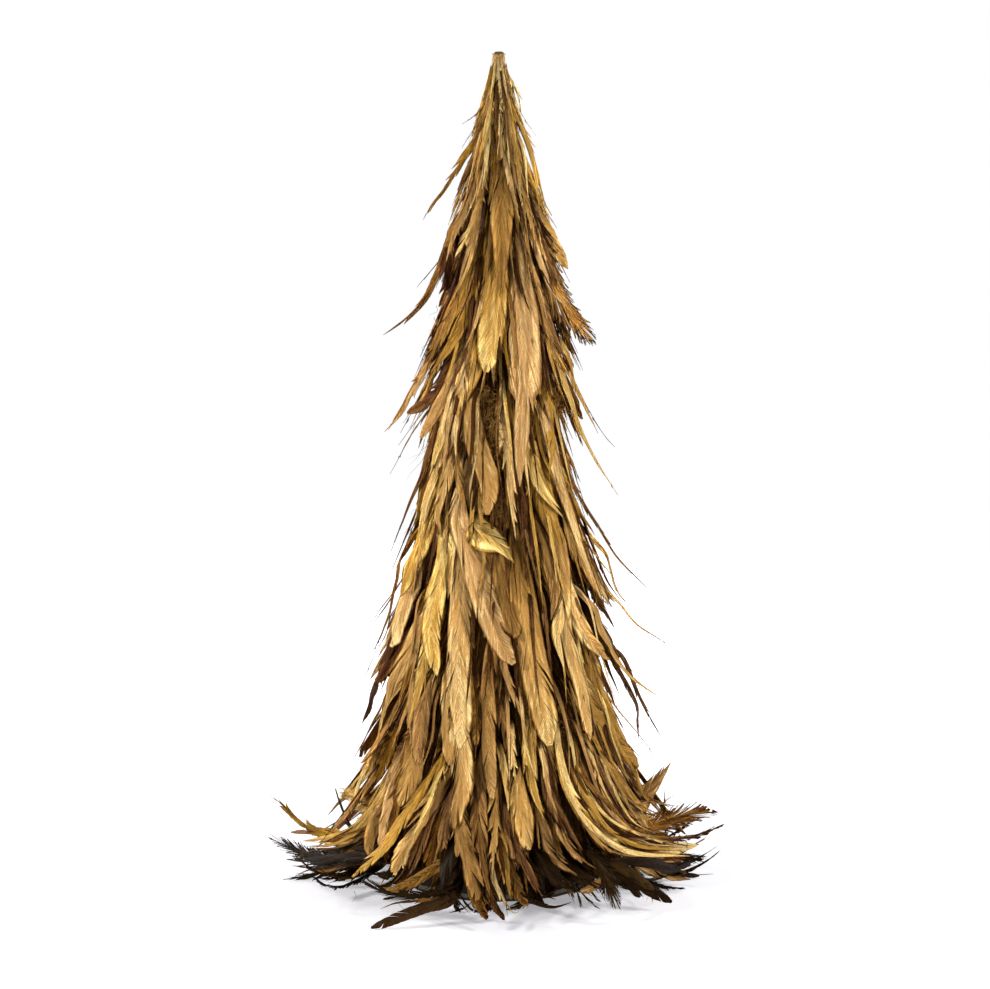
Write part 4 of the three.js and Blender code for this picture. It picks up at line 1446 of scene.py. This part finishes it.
# %% Gold feathers round the foot
foot_feathers = [
    # the left side, from the back to the front
    ("blunt", 17, 1, "tan", [(376, 802), (358, 796), (338, 790)], frayed_broadside),
    ("blunt", 13, 1, "mauve", [(378, 812), (362, 808), (346, 801)], frayed_broadside),
    ("point", 15, 2, "olive", [(345, 837), (325, 834), (306, 827), (292, 815), (281, 803), (268, 794)],
     {**broadside, "tears": 7, "gape": 1.8, "ragged": 0.3}),
    ("blade", 6, 2, "ochre", [(350, 832), (332, 829), (316, 829), (304, 822)], tattered),
    ("blunt", 8, 1, "dark", [(345, 833), (322, 830), (305, 831), (291, 832)]),
    ("point", 12, 1, "tan", [(388, 740), (372, 765), (355, 785), (340, 797)]),
    ("point", 13, 1, "brown", [(398, 730), (380, 770), (362, 795), (347, 810)]),
    ("blade", 9, 2, "tan", [(384, 742), (368, 765), (358, 785), (351, 814)]),
    ("blade", 10, 3, "tan", [(392, 775), (378, 798), (360, 820), (345, 832), (325, 838), (302, 841)]),
    ("blade", 9, 4, "ochre", [(392, 785), (379, 804), (362, 825), (345, 838), (326, 845), (307, 846)]),
    ("blade", 7, 3, "dark", [(385, 820), (368, 838), (352, 848), (335, 855)]),
    ("round", 15, 4, "tan", [(398, 765), (388, 790), (378, 815), (370, 838), (369, 856)]),
    ("blunt", 18, 3, "tan", [(405, 745), (396, 780), (388, 815), (380, 848)]),
    ("blunt", 12, 2, "brown", [(412, 740), (398, 785), (390, 835), (384, 865)]),
    ("blunt", 24, 5, "gold", [(419, 728), (415, 755), (409, 782), (399, 806)]),
    ("blunt", 15, 6, "ochre", [(446, 745), (436, 770), (418, 795), (402, 820), (388, 842), (370, 860),
     (352, 876)], tattered),
    ("blunt", 21, 5, "tan", [(446, 775), (432, 800), (418, 828), (403, 852), (394, 875)], tattered),
    ("blade", 12, 6, "bright", [(446, 760), (436, 785), (422, 815), (412, 838)]),
    ("point", 15, 3, "brown", [(440, 790), (428, 825), (416, 860), (405, 880)]),
    ("blunt", 20, 2, "brown", [(446, 785), (438, 818), (433, 845), (428, 868)]),
    ("blunt", 15, 3, "brown", [(452, 785), (447, 815), (441, 852)]),
    ("blade", 8, 4, "dark", [(432, 800), (420, 835), (406, 868), (392, 884)]),
    # the middle
    ("round", 25, 6, "tan", [(457, 705), (460, 745), (461, 786), (453, 830)]),
    ("blunt", 23, 5, "ochre", [(456, 790), (461, 830), (470, 868), (477, 900)], tattered),
    ("forked", 17, 4, "brown", [(480, 780), (478, 820), (483, 860), (490, 897)], tattered),
    ("blunt", 15, 2, "brown", [(466, 860), (472, 888), (479, 905), (487, 919)], tattered),
    ("blunt", 15, 3, "brown", [(486, 850), (488, 880), (495, 903), (504, 920)], tattered),
    ("blade", 8, 3, "umber", [(492, 870), (500, 893), (512, 912), (519, 911)]),
    ("point", 15, 2, "olive", [(480, 750), (478, 790), (483, 840), (488, 880)]),
    ("point", 14, 3, "ochre", [(498, 770), (496, 805), (494, 845), (492, 880)]),
    ("blade", 8, 4, "tan", [(500, 745), (505, 775), (511, 808), (514, 838)]),
    ("blade", 6, 3, "bright", [(511, 725), (513, 750), (516, 785), (519, 812)]),
    ("point", 18, 3, "ochre", [(496, 800), (500, 840), (506, 875), (511, 900)], tattered),
    ("forked", 24, 4, "brown", [(503, 800), (513, 838), (527, 868), (542, 898)], tattered),
    ("blade", 9, 7, "black", [(499, 838), (501, 858), (506, 884)]),
    ("blunt", 18, 2, "brown", [(502, 830), (510, 866), (518, 890), (526, 906)], tattered),
    ("blunt", 22, 6, "gold", [(520, 765), (520, 795), (525, 824), (529, 850)]),
    ("point", 15, 5, "mauve", [(530, 722), (529, 755), (533, 788), (545, 821)], speckled),
    ("point", 21, 4, "brown", [(545, 745), (549, 780), (558, 812), (574, 838), (583, 850)], speckled),
    ("blade", 8, 5, "tan", [(540, 740), (545, 765), (549, 790), (558, 815)]),
    ("point", 25, 3, "ochre", [(536, 805), (543, 836), (556, 860), (577, 875)], tattered),
    ("point", 17, 4, "ochre", [(552, 810), (563, 836), (578, 856), (597, 869)], tattered),
    # the right side
    ("blade", 8, 7, "bright", [(555, 722), (559, 752), (569, 788), (588, 822), (612, 844), (640, 854),
     (690, 856)]),
    ("blade", 9, 5, "gold", [(571, 745), (578, 778), (592, 808), (610, 832), (640, 846), (675, 849)]),
    ("blade", 6, 6, "ochre", [(566, 775), (577, 806), (592, 834), (612, 852), (640, 857)]),
    ("blade", 5, 5, "dark", [(576, 800), (586, 828), (602, 848), (628, 858)]),
    ("blade", 9, 4, "brown", [(578, 735), (585, 765), (594, 795), (606, 822), (622, 836), (655, 840)]),
    ("blade", 7, 6, "tan", [(588, 748), (598, 778), (611, 805), (624, 824), (640, 834), (662, 836)]),
    ("blade", 5, 5, "bright", [(598, 752), (610, 780), (622, 804), (634, 822), (652, 832)]),
    ("blade", 6, 4, "dark", [(596, 770), (608, 800), (620, 822), (636, 836)]),
    ("blade", 5, 5, "ochre", [(592, 735), (604, 758), (620, 782), (638, 804), (656, 816)]),
    ("blade", 5, 4, "gold", [(586, 738), (600, 764), (618, 788), (636, 801), (652, 806)]),
    ("blade", 5, 3, "bright", [(602, 738), (620, 764), (638, 790), (654, 801), (672, 802)]),
    ("blade", 6, 3, "brown", [(608, 742), (622, 768), (636, 788), (652, 800)]),
    ("blade", 4, 2, "brown", [(640, 822), (655, 818), (664, 805), (664, 788)]),
    ("blade", 5, 2, "gold", [(628, 822), (642, 817), (658, 812), (666, 800), (674, 796)]),
    ("point", 21, 2, "olive", [(632, 810), (645, 794), (658, 778), (671, 762)], broadside),
    ("round", 29, 2, "olive", [(618, 842), (640, 833), (668, 821), (695, 813), (719, 813)],
     frayed_broadside),
    ("blade", 12, 3, "dark", [(620, 842), (650, 841), (688, 838), (708, 832), (726, 823)],
     frayed_broadside),
    ("blunt", 13, 4, "mauve", [(600, 834), (622, 845), (655, 851), (697, 845)], broadside),
    ("blade", 10, 3, "brown", [(590, 780), (604, 808), (620, 830), (648, 838)]),
    ("blade", 8, 2, "dark", [(600, 780), (615, 806), (632, 828), (655, 838)]),
    ("point", 14, 1, "dark", [(566, 760), (578, 800), (592, 838)]),
]
lay_all(foot_feathers, "gold round the foot:", gold_rows - 1)

# %% [markdown]
# Sheaves. On both sides of the foot the feathers are stripped to narrow strands that sweep outwards
# together, and under the tip they are so tightly bound that only strands show. Looser sheaves stray all
# over the front. A sheaf is drawn by the line of its first strand and of its last. The strands between
# follow both lines with a little disorder, dark and bright by chance.

# %% Sheaves of narrow strands
sheaves = [
    (11, [(566, 722), (580, 762), (600, 802), (624, 832), (662, 848)],
     [(612, 716), (622, 742), (636, 770), (652, 792), (676, 801)]),
    (15, [(550, 735), (561, 786), (588, 828), (624, 851), (682, 859)],
     [(574, 730), (588, 774), (612, 812), (644, 834), (700, 840)]),
    (6, [(424, 752), (404, 790), (380, 822), (350, 842), (302, 846)],
     [(404, 764), (386, 790), (366, 814), (350, 828), (318, 840)]),
    (7, [(495, 73), (486, 108), (473, 148), (460, 190)], [(500, 73), (499, 115), (496, 160), (490, 212)]),
    (8, [(502, 73), (505, 112), (509, 158), (513, 208)], [(506, 73), (516, 108), (529, 150), (544, 203)]),
    # strays all over the front
    (9, [(474, 215), (466, 255), (452, 300)], [(528, 215), (538, 255), (552, 300)]),
    (12, [(460, 300), (450, 350), (434, 400)], [(540, 300), (552, 350), (568, 400)]),
    (14, [(440, 400), (430, 450), (418, 500)], [(558, 400), (570, 450), (586, 500)]),
    (15, [(428, 500), (416, 555), (402, 610)], [(574, 500), (590, 555), (606, 610)]),
    (16, [(412, 600), (400, 655), (386, 710)], [(590, 600), (606, 655), (622, 710)]),
    (15, [(404, 700), (394, 745), (378, 790)], [(606, 700), (620, 740), (640, 780)]),
]
strand_colours = ["black", "dark", "brown", "ochre", "gold", "bright"]
strand_widths = (2.5, 5)
strand_layers = (2, 6)
strand_lengths = (0.8, 1.05)  # of the last stretch, as shares
strand_disorder = 2.5  # pixels
disorder_shares = (0.4, 1.6)  # at the root and at the tip
strand_look = {"tears": 1, "fine": False}


def lay_sheaf(count, first, last):
    row = row_above(spot_on_tree(first[-1], 0)[2])
    chance = bundles[row].chance
    for place in (np.arange(count) + chance.uniform(0, 1, count)) / count:
        pixels = np.array(first) * (1 - place) + np.array(last) * place
        growing = np.linspace(*disorder_shares, len(pixels))[:, None]
        pixels = pixels + chance.normal(0, strand_disorder, pixels.shape) * growing
        pixels[-1] = pixels[-2] + (pixels[-1] - pixels[-2]) * chance.uniform(*strand_lengths)
        width, layer = chance.uniform(*strand_widths), chance.uniform(*strand_layers)
        lay("blade", width, layer, chance.choice(strand_colours), pixels, strand_look,
            row if row == gold_rows - 1 else None)


for sheaf in sheaves:
    lay_sheaf(*sheaf)
print("strands in sheaves:", sum(count for count, *_ in sheaves))

# %% [markdown]
# The black feathers lie out on the table all round, and in front the photograph shows single ones. A few
# near the gold got so much overspray that they look gold themselves, so those have bright tones.

# %% Black feathers on the table
table_feathers = [
    ("blunt", 17, 1, "dark", [(400, 858), (366, 854), (336, 860), (308, 856), (288, 846), (268, 835)],
     frayed_broadside),
    ("blade", 9, 3, "black", [(385, 858), (352, 856), (322, 862), (296, 866)], tattered),
    ("blade", 9, 2, "black", [(398, 858), (362, 856), (332, 858), (306, 860), (284, 859)], broadside),
    ("blade", 8, 0, "dark", [(372, 838), (348, 846), (330, 852), (312, 850)]),
    ("blade", 4, 2, "black", [(360, 862), (330, 866), (308, 870), (294, 877)]),
    ("blade", 4, 0, "black", [(372, 850), (350, 826), (340, 803), (333.5, 783)]),
    ("blunt", 12, 3, "black", [(455, 886), (427, 896), (395, 895), (375, 887), (362, 878)],
     frayed_broadside),
    ("blunt", 12, 4, "bronze", [(458, 856), (434, 868), (414, 881), (398, 888), (386, 889)], broadside),
    ("blade", 6, 3, "umber", [(440, 896), (415, 901), (395, 903), (380, 909)]),
    ("blunt", 12, 5, "ochre", [(452, 896), (432, 905), (410, 913), (390, 921), (371, 928)], broadside),
    ("blade", 5, 4, "black", [(436, 885), (448, 893), (460, 903), (470, 914)]),
    ("point", 26, 2, "black", [(470, 840), (455, 865), (440, 892)]),
    ("point", 24, 6, "black", [(458, 838), (447, 864), (442, 894)]),
    ("point", 16, 2, "dark", [(590, 864), (622, 864), (650, 862), (674, 869), (697, 860)], broadside),
    ("blade", 8, 2, "black", [(600, 872), (630, 877), (655, 879), (676, 872)]),
    ("blunt", 15, 3, "dark", [(590, 868), (620, 878), (646, 889), (672, 902)], broadside),
    ("blunt", 12, 4, "olive", [(596, 862), (622, 868), (640, 880), (654, 890)], broadside),
    ("blunt", 18, 5, "olive", [(592, 855), (604, 874), (611, 892), (619, 911)], frayed_broadside),
    ("blade", 8, 4, "black", [(520, 892), (534, 902), (553.6, 907), (572, 902)]),
    ("point", 26, 6, "black", [(535, 852), (552, 873), (577, 892)], tattered),
    ("point", 22, 5, "black", [(560, 866), (590, 881), (612, 891)], tattered),
    ("blunt", 10, 5, "bronze", [(606, 872), (594, 886), (580, 892)]),
    ("blade", 7, 3, "black", [(610, 868), (590, 876), (565, 886), (545, 896)]),
    ("blunt", 14, 2, "black", [(610, 866), (628, 882), (640, 897)], broadside),
    ("point", 14, 1, "dark", [(400, 868), (380, 874), (364, 872)], tattered),
]
lay_all(table_feathers, "black on the table:", gold_rows)

# %% [markdown]
# Down. Where a feather was plucked, the foot of its vane is a tuft of soft curls, and in a few gaps of
# the photograph such tufts show. Each patch below is a stretch between two points of the photograph and
# a number of curls. They stay a little under the surface, or they would look like grey fuzz.

# %% Curls of down in the gaps
down_patches = [
    ((487, 384), (502, 456), 120), ((547, 374), (563, 418), 80), ((500, 490), (504, 524), 40),
    ((556, 700), (566, 745), 24), ((430, 812), (424, 850), 20),
]
down_spread = 3.2  # pixels
down_proud = -2.5
down_way = [0, -0.3, -0.6]  # forwards and down
down_disorder = 0.5
down_lengths = (8, 16)
down_curls = (1.6, 3)
down_tones = (0.3, 0.7)
down_gildings = (0.7, 1.1)


def add_down(first, last, count):
    for share in np.linspace(0, 1, count):
        pixel = np.array(first) + share * (np.array(last) - first)
        bundle = bundles[row_above(spot_on_tree(pixel, 0)[2])]
        chance = bundle.chance
        spot = spot_on_tree(pixel + chance.normal(0, down_spread, 2), down_proud)
        sideways, upwards = chance.normal(0, down_disorder), chance.normal(0, down_disorder)
        way = unit(np.array(down_way) + [sideways, 0, upwards])
        length, curl = chance.uniform(*down_lengths), chance.uniform(*down_curls)
        tone, gilding = chance.uniform(*down_tones), chance.uniform(*down_gildings)
        add_hair(bundle, spot, way, length, curl, tone, gilding)


for patch in down_patches:
    add_down(*patch)
print("curls of down:", sum(count for *_, count in down_patches))

# %% [markdown]
# Every feather is now in a bundle, so each bundle becomes one mesh. It takes the place of the plain
# solid of its row, and the two pieces of the lowest gold row share one.

# %% Turn the gathered feathers into pieces
for row, bundle in enumerate(bundles[:gold_rows]):
    bundle.to_object(gilded_feather, "gilded_feather", row_names[row])
bundles[skirt_row].to_object(black_feather, "black_feather", row_names[skirt_row])
foot_front.to_object(gilded_feather, "gilded_feather", row_names[gold_rows - 1])

# %% [markdown]
# The parts that carry the feathers hardly show, but a gap or a look from below finds them, so each gets
# a plain honest finish, and all are dull: painted foam, grey board, felt and woven tape. The foam's dark
# brown is partly its paint and partly painted shade for the gaps between feathers.

# %% Finishes of the hidden parts
grain_detail = 4.0
grain_relief = 0.7


def plain_material(name, light_colour, dark_colour, grain_mm, roughness, bump_mm, stretch=(1, 1, 1),
                   metal=0.0):
    material, tree = new_material(name)
    place = node(tree, "ShaderNodeTexCoord").outputs["Object"]
    place = node(tree, "ShaderNodeVectorMath", {"operation": "MULTIPLY"}, _0=place, _1=stretch).outputs[0]
    grain = node(tree, "ShaderNodeTexNoise", None, Vector=place, Scale=1 / (grain_mm * mm),
                 Detail=grain_detail).outputs["Fac"]
    colour = node(tree, "ShaderNodeMix", {"data_type": "RGBA"}, _0=grain, _6=linear(dark_colour),
                  _7=linear(light_colour)).outputs[2]
    bump = node(tree, "ShaderNodeBump", None, Height=grain, Strength=grain_relief,
                Distance=bump_mm * mm).outputs[0]
    shader = node(tree, "ShaderNodeBsdfPrincipled", None, Base_Color=colour, Metallic=metal,
                  Roughness=roughness, Normal=bump)
    finish_material(tree, shader)
    return material


weave_stretch = (1, 1, 3)  # a tape's threads run round the tree
# The foam's dark brown is partly its paint and partly painted shade for the gaps between feathers.
foam_and_gap_shade = plain_material("brown_foam_and_gap_shade", "#3b2a18", "#1e140b", 1.5, 0.85, 0.5)
grey_board = plain_material("pressed_grey_board", "#8a8478", "#6d675c", 0.8, 0.9, 0.15)
brown_felt = plain_material("brown_wool_felt", "#574530", "#3a2c1c", 1.2, 0.95, 0.5)
woven_tape = plain_material("woven_cotton_tape", "#5a3f20", "#2f1f0f", 0.7, 0.85, 0.25, weave_stretch)
finishes = {"foam_cone": foam_and_gap_shade, "base_disc": grey_board, "felt_pad": brown_felt,
            "skirt_tape": woven_tape}
for row in range(1, gold_rows):
    finishes[f"header_tape_{row + 1:02d}"] = woven_tape
for node_name, material in finishes.items():
    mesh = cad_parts[node_name].data
    mesh.materials.clear()
    mesh.materials.append(material)
print("dressed CAD nodes:", len(finishes))

# %% [markdown]
# The paper tip and the topmost tape are turned round the axis, ring by ring. A lathe-like Screw modifier
# could do that, but here every ring may be creased and torn, so the points are computed.

# %% Turn a piece round the axis
turning_sides = 72
turn_angles = 2 * np.pi * np.arange(turning_sides) / turning_sides


def turned_piece(name, radii, heights, material, replaces):
    points = np.stack([radii * np.cos(turn_angles), radii * np.sin(turn_angles), heights], axis=-1)
    here = np.arange(turning_sides)
    after = (here + 1) % turning_sides
    ring = np.arange(len(points))[:, None] * turning_sides
    above = np.roll(ring, -1, axis=0)
    quads = np.stack([ring + here, ring + after, above + after, above + here], axis=-1)
    quads = quads.reshape(-1, corners)
    mesh = bpy.data.meshes.new(name)
    mesh.from_pydata((points.reshape(-1, 3) * mm).tolist(), [], quads.tolist())
    mesh.polygons.foreach_set("use_smooth", np.ones(len(quads), bool))
    mesh.materials.append(material)
    piece = bpy.data.objects.new(name, mesh)
    bpy.context.scene.collection.objects.link(piece)
    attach(piece, "root")
    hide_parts(replaces)
    print(name, "points:", len(points) * turning_sides)


def all_round(values):
    return np.asarray(values, float)[:, None] + 0 * turn_angles


print("sides of a turned piece:", turning_sides)

# %% [markdown]
# The tip. A strip of paper is twisted tight round the bare tip of the cone and sprayed with the
# feathers. A smooth sleeve looks like a pen cap, so this one has slanting creases, a pinch where the
# twist ends, and a top that is folded inwards to a low crumpled dome, with two torn corners at its rim.

# %% The paper twist
gold_paper = plain_material("gold_sprayed_paper", "#b98f4c", "#3c240e", 1.6, 0.45, 0.5, metal=0.5)
wrap_rings = 30
dome_height = 2.2
paper_gap = 0.3
hem_drop = 1
crease_depth = 0.4
deep_creases, deep_start = 5, 0.6  # how many round the tip, and the angle that they start at
crease_sharpness = 0.7
fine_creases, fine_start = 14, 1.3
fine_crease_share = 0.5
dents, dent_share = 3, 0.3
twist_per_mm = 0.16
pinch_height = 3.4
pinch_width = 1.1
pinch_depth = 0.7
rim_drop = 0.5
rim_shares = np.array([0.97, 0.8, 0.55, 0.3, 0.03])[:, None]
rim_rises = np.array([-1.3, -0.1, 0.5, 0.7, 0.7])[:, None]
torn_corner_angles = (0.25, 2.9)
torn_corner_width = 0.16
torn_corner_size = 1.3
crumples = [(0.25, 5, 1), (0.2, 9, 0)]  # size, how many round the rim, and start
inner_gap = 0.12
inner_drop = 0.98
innermost = 0.1

wrap_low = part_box("tip_wrap")[0].z / mm - hem_drop
wrap_heights = all_round(np.linspace(wrap_low, tree_height - dome_height, wrap_rings))
twisted = turn_angles + (wrap_heights - wrap_low) * twist_per_mm
creases = np.abs(np.sin(deep_creases / 2 * twisted + deep_start)) ** crease_sharpness
creases += fine_crease_share * np.sin(fine_creases / 2 * twisted + fine_start) ** 2
creases += dent_share * np.sin(dents * turn_angles - wrap_heights)
pinch = pinch_depth * np.exp(-(((wrap_heights - wrap_low - pinch_height) / pinch_width) ** 2))
outside = cone_radius(wrap_heights) - cord_middle + paper_gap + crease_depth * creases * (1 - pinch)
crumple = sum(size * np.sin(count * turn_angles + start) for size, count, start in crumples)
rim_radii = outside[-1] * rim_shares
rim_heights = tree_height - rim_drop + crumple * rim_shares + rim_rises
off_corners = [(turn_angles - corner) / torn_corner_width for corner in torn_corner_angles]
torn = sum(np.exp(-(off_corner**2)) for off_corner in off_corners) * torn_corner_size
outside[-1] += torn
wrap_heights[-1] += torn
hem_radius = cone_radius(wrap_low) - cord_middle
inner_radii = all_round([innermost, cone_tip_radius + inner_gap, hem_radius + inner_gap])
inner_top = tree_height - inner_drop
inner_heights = all_round([inner_top, inner_top, wrap_low])
turned_piece("twisted_paper_tip", np.vstack([outside, rim_radii, inner_radii]),
             np.vstack([wrap_heights, rim_heights, inner_heights]), gold_paper, "tip_wrap")

# %% [markdown]
# The first header tape is bound so tight under the paper that it is narrower than the plain solid, and
# the spray made it just as gold.

# %% The topmost tape
gold_tape = plain_material("gold_sprayed_cotton_tape", "#a07a3c", "#3f2810", 0.7, 0.6, 0.25, weave_stretch,
                           metal=0.4)
tape_low, tape_high = (corner.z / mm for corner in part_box("header_tape_01"))
tape_heights = all_round([tape_low, tape_high, tape_high, tape_low])
tape_proud = np.array([0.75, 0.75, 0.2, 0.2])[:, None]
turned_piece("top_header_tape", cone_radius(tape_heights) - cord_middle + tape_proud, tape_heights,
             gold_tape, "header_tape_01")

# %% [markdown]
# The floor is a plain white disc that runs out of sight. It glows a little, more so further out, which
# hides its rim against the white behind, and near the tree it keeps a soft shadow.

# %% Floor
floor_radius = 1.6
floor_sides = 96
glow_reaches = (0.15, 0.8)  # metres from the tree
glow_levels = (0.36, 0.9)
floor_mesh = bpy.data.meshes.new("studio_floor")
corner_angles = 2 * np.pi * np.arange(floor_sides) / floor_sides
rim = np.stack([np.cos(corner_angles), np.sin(corner_angles), 0 * corner_angles], axis=1) * floor_radius
floor_mesh.from_pydata(rim.tolist(), [], [list(range(floor_sides))])
floor = bpy.data.objects.new("studio_floor", floor_mesh)
bpy.context.scene.collection.objects.link(floor)
floor_material, floor_tree = new_material("white_studio_floor")
floor_spot = node(floor_tree, "ShaderNodeTexCoord").outputs["Object"]
floor_reach = node(floor_tree, "ShaderNodeVectorMath", {"operation": "LENGTH"}, _0=floor_spot)
glow = node(floor_tree, "ShaderNodeMapRange", {"interpolation_type": "SMOOTHSTEP"},
            Value=floor_reach.outputs["Value"], From_Min=glow_reaches[0], From_Max=glow_reaches[1],
            To_Min=glow_levels[0], To_Max=glow_levels[1])
floor_shader = node(floor_tree, "ShaderNodeBsdfPrincipled", None, Base_Color=linear("#f7f6f8"),
                    Roughness=0.8, Emission_Color=linear("#fbfaff"),
                    Emission_Strength=glow.outputs["Result"])
finish_material(floor_tree, floor_shader)
floor_mesh.materials.append(floor_material)
print("floor radius in m:", floor_radius)

# %% [markdown]
# A soft studio. Two small key lights stand in front, to the left and right and well above the tip, and
# give the metal flakes their sparkle. Two wider ones behind catch the edges, and a dim white room lights
# the rest. What the camera sees behind the tree is the same room, but bright.

# %% Lights
key_size = 0.22
edge_size = 0.5
aim = np.array([0, 0, 0.3])
room_glow = 0.2
backdrop_glow = 1.02


def soft_light(name, place, size, watts):
    data = bpy.data.lights.new(name, "AREA")
    data.shape = "DISK"
    data.size = size
    data.energy = watts
    light = bpy.data.objects.new(name, data)
    light.location = place
    way = np.array(place) - aim
    tilt = math.acos(way[2] / np.linalg.norm(way))
    light.rotation_euler = (tilt, 0, math.atan2(way[1], way[0]) + math.pi / 2)
    bpy.context.scene.collection.objects.link(light)


soft_light("left_key_light", (-1.3, -1.2, 0.95), key_size, 23)
soft_light("right_key_light", (1.4, -1.2, 0.85), key_size, 21)
soft_light("left_edge_light", (-1.4, 0.9, 0.9), edge_size, 18)
soft_light("right_edge_light", (1.4, 0.9, 1.0), edge_size, 18)

world = bpy.data.worlds.new("white_studio")
bpy.context.scene.world = world
world.use_nodes = True
world.node_tree.nodes.clear()
seen_directly = node(world.node_tree, "ShaderNodeLightPath").outputs["Is Camera Ray"]
strength = node(world.node_tree, "ShaderNodeMapRange", None, Value=seen_directly, To_Min=room_glow,
                To_Max=backdrop_glow)
room = node(world.node_tree, "ShaderNodeBackground", None, Color=linear("#fdfdfe"),
            Strength=strength.outputs["Result"])
node(world.node_tree, "ShaderNodeOutputWorld", Surface=room.outputs["Background"])
bpy.context.scene.view_settings.view_transform = "Standard"

# %% [markdown]
# Last, the size of the plain model is printed. Feathers may reach a little past the solids that they
# replace, but not far.

# %% Measure and finish
print("CAD box:", cad_box)
